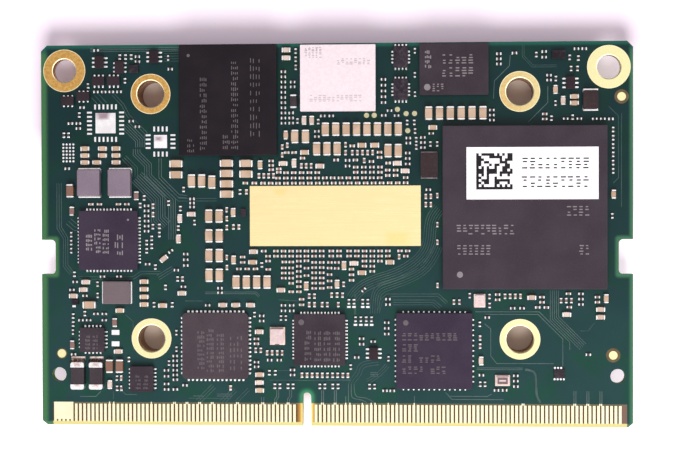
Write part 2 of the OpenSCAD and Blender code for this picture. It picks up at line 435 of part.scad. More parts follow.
resistor_runs = [
    [-5.93, 13.15, 1, 11, 0, 0.605, 0], [5.83, 15.5, 1, 5, 0, 0.68, 0], [32.45, 7.4, 1, 6, 0, 0.96, 90],
    [-28.15, 21.85, 1, 1, 0, 0, 0],
    [-25.33, 21.05, 3, 1, 0.68, 0, 90], [-23.2, 20.5, 1, 2, 0, 0.6, 0], [-24.73, 18.25, 1, 1, 0, 0, 90],
    [-28.18, 16.98, 4, 1, 0.92, 0, 0], [-29.12, 17.68, 1, 1, 0, 0, 90], [-29.85, 15.15, 1, 1, 0, 0, 0],
    [-30.2, 14.25, 1, 1, 0, 0, 90], [-31.25, 13.27, 1, 1, 0, 0, 0], [-30.3, 12.67, 1, 2, 0, 0.6, 0],
    [-23.98, 13.5, 1, 1, 0, 0, 0], [-23.25, 12.85, 1, 1, 0, 0, 0], [-32.05, 11.87, 2, 1, 0.55, 0, 90],
    [-19.55, 20.9, 1, 1, 0, 0, 90], [-19.3, 19.6, 1, 1, 0, 0, 0], [-4.47, 19.68, 1, 3, 0, 0.95, 90],
    [-4.83, 17.4, 1, 2, 0, 0.58, 0], [-5.02, 13.15, 1, 3, 0, 0.6, 0], [-4.27, 13.4, 1, 1, 0, 0, 90],
    [-1.85, 13.3, 1, 1, 0, 0, 90], [-1.3, 13.97, 2, 1, 1, 0, 0], [-2, 11.55, 1, 2, 0, 0.62, 0],
    [5.85, 14, 1, 1, 0, 0, 0], [6.53, 14.55, 1, 1, 0, 0, 0], [7.35, 13.97, 1, 1, 0, 0, 0],
    [9.5, 21.5, 1, 1, 0, 0, 90], [9.5, 18.7, 1, 1, 0, 0, 90], [9.5, 16.45, 1, 1, 0, 0, 90],
    [19.27, 19.9, 1, 3, 0, 0.6, 0], [21.08, 21.15, 1, 1, 0, 0, 0], [18.45, 13.35, 1, 3, 0, 0.6, 0],
    [8.58, 13.15, 2, 1, 0.84, 0, 90], [9.5, 12.15, 1, 1, 0, 0, 90], [11.4, 11.85, 1, 1, 0, 0, 0],
    [8.72, 10.75, 1, 2, 0, 0.6, 0], [9.65, 10.28, 1, 2, 0, 0.85, 90], [10.42, 10.2, 1, 3, 0, 0.6, 0],
    [11.3, 10.62, 2, 1, 0.8, 0, 90], [8.65, 8.3, 1, 3, 0, 0.65, 0], [1.6, 8.1, 1, 2, 0, 0.66, 0],
    [11.05, 5.3, 1, 1, 0, 0, 0], [23.6, 20.95, 1, 1, 0, 0, 90], [24.52, 20.65, 1, 2, 0, 0.65, 0],
    [28.25, 21.6, 2, 1, 0.9, 0, 0], [28.45, 20.5, 1, 1, 0, 0, 90], [27.45, 20.6, 1, 1, 0, 0, 90],
    [27.62, 19.3, 2, 1, 0.74, 0, 90], [25.08, 17.98, 1, 2, 0, 0.58, 0], [25.87, 18.15, 1, 1, 0, 0, 90],
    [25.83, 15.3, 1, 1, 0, 0, 90], [25.35, 13.55, 1, 1, 0, 0, 90], [27, 13.48, 1, 1, 0, 0, 0],
    [27.8, 13.65, 1, 1, 0, 0, 90], [28.58, 13.48, 1, 1, 0, 0, 0], [30.35, 13.45, 3, 1, 0.93, 0, 0],
    [32.35, 2.18, 1, 1, 0, 0, 90], [-31.65, 7.93, 1, 1, 0, 0, 0], [-22.5, 4.42, 1, 1, 0, 0, 90],
    [-22.98, 3.53, 1, 1, 0, 0, 90], [-22.2, 0.5, 1, 6, 0, 0.6, 0], [-21.47, 1.02, 1, 1, 0, 0, 90],
    [-20.7, 0.1, 1, 2, 0, 0.95, 90], [-22.22, -1.83, 1, 2, 0, 0.98, 90], [-21.62, -1.3, 1, 2, 0, 0.95, 90],
    [-22.1, -3.4, 1, 1, 0, 0, 0], [-21.2, -3.75, 1, 1, 0, 0, 90], [-19.35, -1.88, 1, 1, 0, 0, 35],
    [-17.8, 5.4, 1, 1, 0, 0, 90], [-19.6, 3.8, 1, 1, 0, 0, 90], [-16.78, 3.32, 1, 3, 0, 0.48, 0],
    [-18.2, 3.15, 1, 1, 0, 0, 90], [-18.45, 0.85, 1, 1, 0, 0, 90], [-16.5, 1.5, 1, 1, 0, 0, 90],
    [-11.1, 5.1, 1, 1, 0, 0, 90], [-17.55, -3.55, 1, 3, 0, 0.67, 0], [-18.67, -4.1, 1, 1, 0, 0, 0],
    [-18.55, -5.15, 1, 1, 0, 0, 90], [-20, -6.15, 1, 1, 0, 0, 90], [-17.85, -6.07, 1, 1, 0, 0, 0],
    [-19.2, -8.2, 1, 1, 0, 0, 90], [-21.35, -8.2, 1, 1, 0, 0, 90], [-13.5, -6.8, 1, 2, 0, 0.55, 0],
    [-8.55, -3.5, 1, 1, 0, 0, 90], [-14.98, -8.27, 1, 1, 0, 0, 0], [-9.45, -9.35, 1, 1, 0, 0, 90],
    [-8.57, -10.1, 1, 2, 0, 0.6, 0], [-6, -8.9, 2, 2, 0.98, 0.65, 0], [-6.3, -9.75, 2, 1, 0.6, 0, 90],
    [1.7, -7.82, 2, 1, 0.6, 0, 90], [3.33, -7.82, 2, 1, 0.6, 0, 90], [2.47, -9.87, 4, 1, 0.635, 0, 90],
    [3.45, -6.43, 1, 1, 0, 0, 45], [6.3, -8.15, 1, 2, 0, 0.65, 0], [6.15, -11.6, 1, 3, 0, 0.67, 0],
    [15.85, -7.1, 1, 1, 0, 0, 90], [18.15, -8.25, 1, 2, 0, 1.05, 90], [20.85, -8.55, 2, 1, 1.08, 0, 0],
    [28.75, -8.1, 1, 3, 0, 0.62, 0], [17.88, -9.65, 1, 1, 0, 0, 0], [17, -10.45, 1, 1, 0, 0, 90],
    [-27.5, -4.87, 1, 1, 0, 0, 0], [-25.52, -4.87, 1, 1, 0, 0, 0], [-30.88, -4.6, 1, 1, 0, 0, 90],
    [-30.77, -5.5, 1, 1, 0, 0, 0], [-28.08, -5.77, 1, 1, 0, 0, 90], [-28.08, -7.1, 1, 1, 0, 0, 90],
    [-31.15, -6.45, 1, 1, 0, 0, 0], [-29.6, -7.15, 1, 1, 0, 0, 0], [-29.65, -9.27, 1, 1, 0, 0, 90],
    [-28.3, -9.3, 2, 1, 1, 0, 0], [-30.1, -10.05, 2, 1, 0.92, 0, 0], [-27.3, -10.05, 1, 1, 0, 0, 0],
    [-31.05, -11.45, 1, 3, 0, 0.95, 90], [-31, -14.1, 1, 1, 0, 0, 0], [-25.82, -18.1, 1, 2, 0, 1.2, 90],
    [-24.4, -14.68, 1, 1, 0, 0, 90], [-18.68, -13.45, 1, 1, 0, 0, 90], [-18.68, -11.5, 1, 1, 0, 0, 90],
    [-18.85, -17.05, 1, 6, 0, 0.56, 0], [-18.85, -18.2, 1, 1, 0, 0, 0], [-19.6, -15.1, 1, 1, 0, 0, 90],
    [-19.9, -16.65, 1, 2, 0, 0.7, 0], [-19.9, -18.2, 1, 2, 0, 0.65, 0], [-17.7, -17.7, 1, 1, 0, 0, 0],
    [-9.2, -15.5, 1, 2, 0, 0.55, 0], [-7.65, -14.7, 2, 1, 1.15, 0, 0], [-7.7, -16.2, 2, 1, 0.7, 0, 90],
    [-7.05, -17.78, 2, 1, 0.6, 0, 90], [-5.5, -17.78, 2, 1, 0.6, 0, 90], [-1.75, -17.78, 2, 1, 0.6, 0, 90],
    [-0.22, -17.78, 2, 1, 0.62, 0, 90], [4.1, -17.78, 2, 1, 0.6, 0, 90], [-4.95, -16.45, 1, 2, 0, 0.6, 0],
    [1.9, -15.5, 1, 1, 0, 0, 90], [3.2, -12.8, 1, 2, 0, 0.65, 0], [4.55, -12.5, 1, 1, 0, 0, 0],
    [2.62, -14.35, 1, 1, 0, 0, 0], [6.35, -14.5, 1, 1, 0, 0, 90], [5.93, -18.25, 2, 1, 0.85, 0, 0],
    [17.2, -16.4, 1, 1, 0, 0, 0], [17.05, -17.45, 2, 1, 0.57, 0, 90], [18.95, -18.15, 2, 1, 0.95, 0, 0],
    [21.2, -17.7, 1, 3, 0, 0.63, 0], [29.6, -13.95, 1, 1, 0, 0, 0], [-31.2, -1.8, 1, 3, 0, 0.95, 90]
];

// Underside: decoupling capacitors behind the coprocessor
underside_runs = [[16.2, -2.8, 5, 5, 3, 3, 0]];

// Lands without a chip: centre x, y, lands a side, pitch, lands' centre line from the centre, pad side
bare_footprints = [[-27.08, 13.28, 6, 0.5, 1.92, 2.4], [-20.53, 11.07, 4, 0.5, 1.48, 1.55]];
bare_land = [0.58, 0.21];

// Single lands: x, y, columns, rows, column step, row step, turn
single_lands = [
    [1.7, -8.45, 2, 1, 0.6, 0, 0], [3.33, -8.45, 2, 1, 0.6, 0, 0], [2.47, -10.55, 4, 1, 0.635, 0, 0],
    [-30.95, -8.4, 1, 1, 0, 0, 0]
];
single_land = [0.4, 0.22];
pair_lands = [[-26, -12.85, 1, 2, 0, 1.35, 0]];
pair_land = [0.92, 0.58];
land_dots = [
    [-32.15, 8.78, 4, 6, 0.4, 0.4, 0], [25.71, -16.86, 4, 1, 0.357, 0, 0], [25.76, -15.54, 3, 1, 0.355, 0, 0]
];
land_dot_r = 0.12;

module on_top() translate([0, layout_y, top_z]) children();

module on_underside() translate([0, layout_y, board_z]) mirror([0, 0, 1]) children();

module along(runs) {
    for (r = runs)
        for (i = [0 : r[2] - 1])
            for (j = [0 : r[3] - 1])
                translate([r[0] + i * r[4], r[1] + j * r[5], 0]) rotate(r[6]) children();
}

module block(w, d, h, z = 0) translate([-w / 2, -d / 2, z]) cube([w, d, h]);

module rounded_rect(w, d, r) {
    square([w - 2 * r, d], center = true);
    square([w, d - 2 * r], center = true);
    for (sx = [-1, 1], sy = [-1, 1]) translate([sx * (w / 2 - r), sy * (d / 2 - r)]) circle(r);
}

// Hole places
function corner_holes() = [for (s = [-1, 1]) [s * (right_x - corner_inset_x), plain_y - corner_inset_y]];
function cooler_holes() = [for (sx = [-1, 1], sy = [-1, 1])
    [sx * cooler_dx / 2, layout_y + cooler_y + sy * cooler_dy / 2]];
function tooling_holes() = [for (s = [-1, 1]) [s * (right_x - tooling_inset) + tooling_shift, edge_y + tooling_up]];

module board_outline() {
    polygon([
        [left_x + bottom_chamfer, edge_y], [right_x - bottom_chamfer, edge_y],
        [right_x, edge_y + bottom_chamfer], [right_x, plain_y - top_chamfer],
        [right_x - top_chamfer, plain_y], [left_x + top_chamfer, plain_y],
        [left_x, plain_y - top_chamfer], [left_x, edge_y + bottom_chamfer]
    ]);
}

module key_notch() {
    translate([key_x, edge_y + key_h - key_w / 2]) circle(key_w / 2);
    translate([key_x - key_w / 2, edge_y - eps]) square([key_w, key_h - key_w / 2 + eps]);
}

module latch_notches() {
    for (x = [left_x, right_x])
        translate([x, edge_y + latch_up]) rounded_rect(2 * latch_depth, latch_h, latch_r);
}

module contact_bevel() {
    rotate([90, 0, 90]) translate([0, 0, left_x - 1]) linear_extrude(board_w + 2)
        polygon([[edge_y - 1, board_t + 1], [edge_y - 1, board_t - bevel_drop], [edge_y, board_t - bevel_drop],
                 [edge_y + bevel_reach, board_t], [edge_y + bevel_reach, board_t + 1]]);
}

module circuit_board() {
    color("darkgreen") translate([0, 0, board_z]) difference() {
        linear_extrude(board_t) difference() {
            board_outline();
            key_notch();
            latch_notches();
            for (p = corner_holes()) translate(p) circle(corner_hole_r + plating_t);
            for (p = cooler_holes()) translate(p) circle(cooler_hole_r + plating_t);
            for (p = tooling_holes()) translate(p) circle(tooling_r);
        }
        contact_bevel();
        translate([0, 0, board_t]) mirror([0, 0, 1]) contact_bevel();
    }
}

module contact_run(first_x, count) {
    for (i = [0 : count - 1])
        translate([first_x + i * contact_pitch - contact_w / 2, edge_y + contact_setback, 0])
            cube([contact_w, contact_len, metal_t]);
}

module wide_contact() {
    tick = 0.25;
    wide = (joined_contacts - 1) * contact_pitch + contact_w;
    translate([left_first_x - contact_w / 2, edge_y + contact_setback, 0]) linear_extrude(metal_t) {
        translate([0, tick]) square([wide, contact_len - tick + joined_rise]);
        for (i = [0 : joined_contacts - 1]) translate([i * contact_pitch, 0]) square([contact_w, tick + eps]);
    }
}

module edge_contacts() {
    wide_contact();
    contact_run(left_first_x + joined_contacts * contact_pitch, left_contacts - joined_contacts);
    contact_run(right_first_x, right_contacts);
}

module edge_contacts_top() color("gold") translate([0, 0, top_z]) edge_contacts();

module edge_contacts_bottom() color("gold") translate([0, 0, board_z]) mirror([0, 0, 1]) edge_contacts();

module plated_hole(hole_r, ring_r) {
    wall_r = hole_r + plating_t;
    face = board_t + metal_t;
    translate([0, 0, board_z]) rotate_extrude()
        polygon([[hole_r, -metal_t], [ring_r, -metal_t], [ring_r, 0], [wall_r, 0], [wall_r, board_t],
                 [ring_r, board_t], [ring_r, face - ring_edge], [ring_r - ring_edge, face],
                 [hole_r + lip, face], [hole_r, face - lip]]);
}

module corner_hole_plating() color("khaki") for (p = corner_holes())
    translate(p) plated_hole(corner_hole_r, corner_ring_r);

module cooler_hole_plating() color("khaki") for (p = cooler_holes())
    translate(p) plated_hole(cooler_hole_r, cooler_ring_r);

module cooler_spacers() color("silver") for (p = cooler_holes()) translate(p) difference() {
    cylinder(r = spacer_r, h = spacer_h);
    translate([0, 0, -1]) cylinder(r = cooler_hole_r, h = spacer_h + 2);
}

module fiducials() color("gold") on_top() for (f = fiducial_at)
    translate([f[0] * (right_x - f[1]), f[2], 0]) cylinder(r = fiducial_r, h = metal_t);

module test_pads() color("gold") on_top() for (p = test_pad_at)
    translate(p) cylinder(r = test_pad_r, h = metal_t);

module thermal_pad() color("khaki") on_top() translate([0.1, cooler_y, 0]) block(pad_w, pad_d, metal_t);

module bare_footprint(f) translate([f[0], f[1], 0]) {
    block(f[5], f[5], land_t);
    for (turn = [0, 90, 180, 270], i = [0 : f[2] - 1])
        rotate(turn) translate([f[4], (i - (f[2] - 1) / 2) * f[3], 0]) block(bare_land[0], bare_land[1], land_t);
}

module solder_lands() color("silver") on_top() {
    for (f = bare_footprints) bare_footprint(f);
    along(single_lands) block(single_land[0], single_land[1], land_t);
    along(pair_lands) block(pair_land[0], pair_land[1], land_t);
    along(land_dots) cylinder(r = land_dot_r, h = land_t);
}

// Ball packages
module ball_field(w, d) {
    nx = floor((w - 2 * ball_rim) / ball_pitch) + 1;
    ny = floor((d - 2 * ball_rim) / ball_pitch) + 1;
    for (i = [0 : nx - 1], j = [0 : ny - 1])
        if (min(i, j, nx - 1 - i, ny - 1 - j) < ball_rows)
            translate([(i - (nx - 1) / 2) * ball_pitch, (j - (ny - 1) / 2) * ball_pitch, 0])
                cylinder(r = ball_r, h = ball_h, $fn = 24);
}

module coprocessor() color("dimgray") on_top() translate(coprocessor_at)
    block(coprocessor_w, coprocessor_w, coprocessor_t, ball_h);

module coprocessor_balls() color("silver") on_top() translate(coprocessor_at)
    ball_field(coprocessor_w, coprocessor_w);

module code_label() color("white") on_top()
    translate([coprocessor_at[0] + label_at[0], coprocessor_at[1] + label_at[1], ball_h + coprocessor_t])
        block(label_w, label_d, label_t);

module storage_flash() color("black") on_top() translate(storage_at)
    block(storage_w, storage_d, storage_t, ball_h);

module storage_flash_balls() color("silver") on_top() translate(storage_at) ball_field(storage_w, storage_d);

module boot_flash() color("dimgray") on_top() translate(boot_at) block(boot_w, boot_d, boot_t, ball_h);

module boot_flash_balls() color("silver") on_top() translate(boot_at) ball_field(boot_w, boot_d);

module processor() color("dimgray") on_underside() translate([0, cooler_y])
    block(processor_w, processor_w, processor_t, ball_h);

module processor_balls() color("silver") on_underside() translate([0, cooler_y])
    ball_field(processor_w, processor_w);

module at_memory() {
    for (s = [-1, 1])
        translate([-(processor_w + memory_w) / 2 - memory_clear, cooler_y + s * (memory_d + memory_gap) / 2])
            children();
}

module memory_packages() color("black") on_underside() at_memory() block(memory_w, memory_d, memory_t, ball_h);

module memory_balls() color("silver") on_underside() at_memory() ball_field(memory_w, memory_d);

// Radio module: a metallised body on a ring of lands
module radio_module() color("gainsboro") on_top() translate(radio_at)
    block(radio_w, radio_d, radio_t, radio_land_h);

module radio_lands() {
    rim = 0.15;
    step = 0.8;
    nx = floor((radio_w - 2 * rim - radio_land_w) / step) + 1;
    ny = floor((radio_d - 2 * rim - radio_land_w) / step) + 1;
    color("khaki") on_top() translate(radio_at)
        for (i = [0 : nx - 1], j = [0 : ny - 1])
            if (min(i, j, nx - 1 - i, ny - 1 - j) == 0)
                translate([(i - (nx - 1) / 2) * step, (j - (ny - 1) / 2) * step, 0])
                    block(radio_land_w, radio_land_w, radio_land_h);
}

// No-lead packages: a moulded body on a lead frame with a paddle under its middle
module lead_row(half, count, pitch, lead_w, thick, reach_in, reach_out = lead_out) {
    for (i = [0 : count - 1])
        translate([half - reach_in, (i - (count - 1) / 2) * pitch - lead_w / 2, 0])
            cube([reach_in + reach_out, lead_w, thick]);
}

module square_leads(w, count, pitch, lead_w, reach_out = lead_out) {
    paddle = w - 2 * lead_in - 0.5;
    for (turn = [0, 90, 180, 270])
        rotate(turn) lead_row(w / 2, count, pitch, lead_w, lead_t, lead_in, reach_out);
    block(paddle, paddle, lead_t);
}

module package(w, d) block(w, d, package_t, lead_t);

module power_controller() color("dimgray") on_top() translate(power_at) package(power_w, power_w);

module power_controller_leads() color("silver") on_top() translate(power_at)
    square_leads(power_w, 14, power_pitch, power_pitch / 2);

module network_chip() color("dimgray") on_top() translate([network_at[0], network_at[1], lead_t])
    linear_extrude(package_t) rounded_rect(network_w, network_w, network_r);

module network_chip_leads() color("silver") on_top() translate(network_at)
    square_leads(network_w, 14, network_pitch, network_pitch / 2);

module hub_chip() color("dimgray") on_top() translate(hub_at) package(hub_w, hub_w);

module hub_chip_leads() color("silver") on_top() translate(hub_at)
    square_leads(hub_w, 13, hub_pitch, hub_pitch / 3, hub_lead_out);

module display_bridge() color("dimgray") on_top() translate(bridge_at) package(bridge_w, bridge_w);

module display_bridge_leads() color("silver") on_top() translate(bridge_at)
    square_leads(bridge_w, 12, bridge_pitch, bridge_pitch / 2);

module regulator() color("dimgray") on_top() translate(regulator_at) package(regulator_w, regulator_w);

module regulator_leads() color("silver") on_top() translate(regulator_at)
    square_leads(regulator_w, 5, small_pitch, small_lead_w);

module load_driver() color("dimgray") on_top() translate(driver_at) package(driver_w, driver_d);

module load_driver_leads() color("silver") on_top() translate(driver_at) {
    for (turn = [0, 180]) rotate(turn) lead_row(driver_w / 2, 6, small_pitch, small_lead_w, lead_t, lead_in);
    block(driver_w - 2 * lead_in - 0.5, driver_d - 0.4, lead_t);
}

module signal_switches() color("dimgray") on_top() for (p = switch_at) translate(p) package(switch_w, switch_d);

module signal_switch_leads() color("silver") on_top() for (p = switch_at) translate(p) {
    for (turn = [0, 180]) rotate(turn) {
        lead_row(switch_w / 2, 4, switch_pitch, small_lead_w, lead_t, small_lead_w);
        rotate(90) lead_row(switch_d / 2, 4, switch_pitch, small_lead_w, lead_t, small_lead_w);
    }
}

module transistors() color("dimgray") on_top() for (t = transistor_at) translate([t[0], t[1], 0]) rotate(t[2])
    block(transistor_w, transistor_d, transistor_t, transistor_lead_t);

module transistor_leads() color("silver") on_top() for (t = transistor_at, turn = [0, 180])
    translate([t[0], t[1], 0]) rotate(t[2] + turn)
        lead_row(transistor_w / 2, 3, 0.5, small_lead_w, transistor_lead_t, lead_in, t[3]);

module wafer_chips() color("dimgray") on_top() for (c = wafer_at)
    translate([c[0], c[1], 0]) block(c[2], c[3], wafer_t);

// Wound inductors: a moulded block between two folded clips
module clips(w, d) {
    foot = 0.5;
    for (turn = [0, 180]) rotate(turn) translate([0, w / 2, 0]) rotate([90, 0, 90])
        translate([0, 0, -d / 2]) linear_extrude(d)
            polygon([[-foot, 0], [clip_t, 0], [clip_t, clip_h], [0, clip_h], [0, clip_t / 2], [-foot, clip_t / 2]]);
}

module wound_body(w, d, h) block(w, d, h - clip_t / 2, clip_t / 2);

module power_inductors() color("rosybrown") on_top() for (p = power_inductor_at)
    translate(p) wound_body(power_inductor_w, power_inductor_d, power_inductor_h);

module power_inductor_clips() color("silver") on_top() for (p = power_inductor_at)
    translate(p) clips(power_inductor_d, power_inductor_w);

module flat_inductor() color("rosybrown") on_top() translate(flat_inductor_at)
    wound_body(flat_inductor_w, flat_inductor_d, flat_inductor_h);

module flat_inductor_clips() color("silver") on_top() translate(flat_inductor_at)
    rotate(90) clips(flat_inductor_w, flat_inductor_d);

module black_inductors() color("black") on_top() for (b = black_inductor_at)
    translate([b[0], b[1], clip_t / 2]) linear_extrude(black_inductor_h - clip_t / 2)
        rounded_rect(b[2], b[3], black_inductor_r);

module black_inductor_clips() color("silver") on_top() for (b = black_inductor_at)
    translate([b[0], b[1], 0]) clips(b[3], b[2]);

// Chip inductors: a ferrite block between two end caps with round corners, and a bead of the large chip size
module chip_inductors() color("dimgray") on_top() {
    for (p = chip_inductor_at) translate(p)
        block(chip_inductor_w - 0.06, chip_inductor_l - 2 * chip_inductor_cap, chip_inductor_h - 0.03);
    along(bead_runs) large_body();
}

module chip_inductor_caps() color("silver") on_top() for (p = chip_inductor_at, turn = [0, 180])
    translate(p) rotate(turn) translate([0, -chip_inductor_l / 2, 0]) linear_extrude(chip_inductor_h)
        intersection() {
            translate([0, chip_inductor_cap]) rounded_rect(chip_inductor_w, 2 * chip_inductor_cap, chip_inductor_r);
            translate([-chip_inductor_w, 0]) square([2 * chip_inductor_w, chip_inductor_cap]);
        }

module crystal_bases() color("tan") on_top() for (c = crystal_at)
    translate([c[0], c[1], 0]) block(c[2], c[3], crystal_base_h);

module crystal_lids() color("gainsboro") on_top() for (c = crystal_at)
    translate([c[0], c[1], crystal_base_h]) linear_extrude(crystal_lid_h)
        rounded_rect(c[2] - 2 * crystal_rim, c[3] - 2 * crystal_rim, crystal_rim);

// Chip parts: a ceramic body between two end caps, with a solder toe at the foot of each cap
module chip_body(l, w, h, share)
    block(l * (1 - 2 * share), w - 2 * ceramic_inset, h - ceramic_inset);

module large_body() chip_body(large_l, large_w, large_h, large_cap_share);

module middle_body() chip_body(middle_l, middle_w, middle_h, middle_cap_share);

module small_body() chip_body(small_l, small_w, small_h, small_cap_share);

module chip_caps(l, w, h, share, toe) {
    cap = l * share;
    for (turn = [0, 180]) rotate(turn) rotate([90, 0, 0]) translate([l / 2, 0, -w / 2]) linear_extrude(w)
        polygon([[-cap, 0], [toe, 0], [0, h * toe_share], [0, h], [-cap, h]]);
}

module large_caps() chip_caps(large_l, large_w, large_h, large_cap_share, toe_reach);

module middle_caps() chip_caps(middle_l, middle_w, middle_h, middle_cap_share, toe_reach);

module small_caps() {
    cap = small_l * small_cap_share;
    for (s = [-1, 1]) translate([s * (small_l - cap) / 2, 0, 0]) block(cap, small_w, small_h);
}

module large_capacitors() color("burlywood") on_top() along(large_runs) large_body();

module large_capacitor_caps() color("silver") on_top() {
    along(large_runs) large_caps();
    along(bead_runs) large_caps();
}

module middle_capacitors() color("tan") on_top() along(middle_runs) middle_body();

module pale_capacitors() color("mistyrose") on_top() along(pale_runs) middle_body();

module middle_capacitor_caps() color("silver") on_top() {
    along(middle_runs) middle_caps();
    along(pale_runs) middle_caps();
}

module small_capacitors() color("tan") on_top() {
    along(pad_runs) small_body();
    along(small_runs) small_body();
}

module chip_resistors() color("black") on_top() along(resistor_runs) small_body();

module small_part_caps() color("silver") on_top() {
    along(pad_runs) small_caps();
    along(small_runs) small_caps();
    along(resistor_runs) small_caps();
}

module underside_capacitors() color("tan") on_underside() along(underside_runs) middle_body();

module underside_capacitor_caps() color("silver") on_underside() along(underside_runs) middle_caps();

circuit_board();
edge_contacts_top();
edge_contacts_bottom();
corner_hole_plating();
cooler_hole_plating();
cooler_spacers();
fiducials();
test_pads();
thermal_pad();
solder_lands();
coprocessor();
coprocessor_balls();
code_label();
storage_flash();
storage_flash_balls();
boot_flash();
boot_flash_balls();
radio_module();
radio_lands();
power_controller();
power_controller_leads();
network_chip();
network_chip_leads();
hub_chip();
hub_chip_leads();
display_bridge();
display_bridge_leads();
regulator();
regulator_leads();
load_driver();
load_driver_leads();
signal_switches();
signal_switch_leads();
transistors();
transistor_leads();
wafer_chips();
power_inductors();
power_inductor_clips();
flat_inductor();
flat_inductor_clips();
chip_inductors();
chip_inductor_caps();
black_inductors();
black_inductor_clips();
crystal_bases();
crystal_lids();
large_capacitors();
large_capacitor_caps();
middle_capacitors();
pale_capacitors();
middle_capacitor_caps();
small_capacitors();
chip_resistors();
small_part_caps();
processor();
processor_balls();
memory_packages();
memory_balls();
underside_capacitors();
underside_capacitor_caps();
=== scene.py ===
"""Looks of a system on module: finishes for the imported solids, and the traces, marks and stage round them."""

from __future__ import annotations

import logging
import math
import random
from dataclasses import dataclass
from enum import Enum
from typing import Iterable, Union

import bmesh
import bpy
from mathutils import Matrix, Vector

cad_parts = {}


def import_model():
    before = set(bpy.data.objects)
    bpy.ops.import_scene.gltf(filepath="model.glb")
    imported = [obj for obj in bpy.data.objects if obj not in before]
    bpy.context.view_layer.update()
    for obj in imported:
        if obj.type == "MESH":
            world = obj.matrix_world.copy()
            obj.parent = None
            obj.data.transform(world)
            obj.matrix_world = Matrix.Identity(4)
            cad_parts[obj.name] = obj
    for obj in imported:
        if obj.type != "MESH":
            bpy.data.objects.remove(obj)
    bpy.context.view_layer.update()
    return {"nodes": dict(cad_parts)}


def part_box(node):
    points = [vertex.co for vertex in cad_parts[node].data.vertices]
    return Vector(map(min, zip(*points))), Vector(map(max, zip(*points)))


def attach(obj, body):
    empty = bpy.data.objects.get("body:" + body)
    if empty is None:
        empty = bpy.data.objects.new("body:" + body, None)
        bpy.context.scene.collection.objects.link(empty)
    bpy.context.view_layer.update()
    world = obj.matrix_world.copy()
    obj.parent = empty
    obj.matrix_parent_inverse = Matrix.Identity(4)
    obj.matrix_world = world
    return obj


LOG = logging.getLogger("system_on_module")

MM = 0.001
BODY = "root"
PHOTO_WIDTH_PX = 697
DISC_TAPER = 0.92

# Values between which most of a noise pattern lies.
NOISE_SPAN = (0.3, 0.7)
NOISE_ROUGHNESS = 0.6
# Colour sockets of the Mix node, by number because their names repeat for each data type.
MIX_FACTOR = 0
MIX_FIRST = 6
MIX_SECOND = 7
MIX_RESULT = 2

Colour = tuple[float, float, float]
Point = tuple[float, float]
# Start and end of a ramp.
Span = tuple[float, float]
# Middle and reach of a small patch, in millimetres.
Spot = tuple[float, float, float]
# Middle, width and depth of a plate, in millimetres.
Plate = tuple[float, float, float, float]
# Numbers for x, y and z.
Triple = tuple[float, float, float]
# Start and end of a ramp, and how far it climbs.
Climb = tuple[float, float, float]
Number = Union["Term", float]


class Term:
    """One value of a shader that takes part in Python arithmetic."""

    def __init__(self, graph: Graph, socket: bpy.types.NodeSocket) -> None:
        """Keep the socket and the graph that it belongs to.

        Args:
            graph: The graph that new Math nodes are added to.
            socket: The output socket that holds the value.
        """
        self.graph = graph
        self.socket = socket

    def __add__(self, other: Number) -> Term:
        """Add another value."""
        return self.graph.maths("ADD", self, other)

    def __radd__(self, other: float) -> Term:
        """Add to a plain number."""
        return self.graph.maths("ADD", other, self)

    def __sub__(self, other: Number) -> Term:
        """Take another value away."""
        return self.graph.maths("SUBTRACT", self, other)

    def __rsub__(self, other: float) -> Term:
        """Take this value from a plain number."""
        return self.graph.maths("SUBTRACT", other, self)

    def __mul__(self, other: Number) -> Term:
        """Multiply by another value."""
        return self.graph.maths("MULTIPLY", self, other)

    def __rmul__(self, other: float) -> Term:
        """Multiply a plain number."""
        return self.graph.maths("MULTIPLY", other, self)

    def __abs__(self) -> Term:
        """Drop the sign."""
        return self.graph.maths("ABSOLUTE", self)

    def lower(self, other: Number) -> Term:
        """Return the smaller of two values."""
        return self.graph.maths("MINIMUM", self, other)

    def upper(self, other: Number) -> Term:
        """Return the larger of two values."""
        return self.graph.maths("MAXIMUM", self, other)

    def length(self, other: Term) -> Term:
        """Return the length of the flat vector with these two parts."""
        return self.graph.maths("SQRT", self * self + other * other)

    def ramp(self, start: float, end: float, low: float = 0.0, high: float = 1.0) -> Term:
        """Run smoothly from low at start to high at end.

        Args:
            start: Value at which the ramp leaves low.
            end: Value at which the ramp reaches high.
            low: Result before start.
            high: Result after end.

        Returns:
            The eased value, held between low and high.
        """
        node = self.graph.node(
            "ShaderNodeMapRange",
            {"interpolation_type": "SMOOTHSTEP"},
            dict(enumerate((self, start, end, low, high))),
        )
        return Term(self.graph, node.outputs[0])


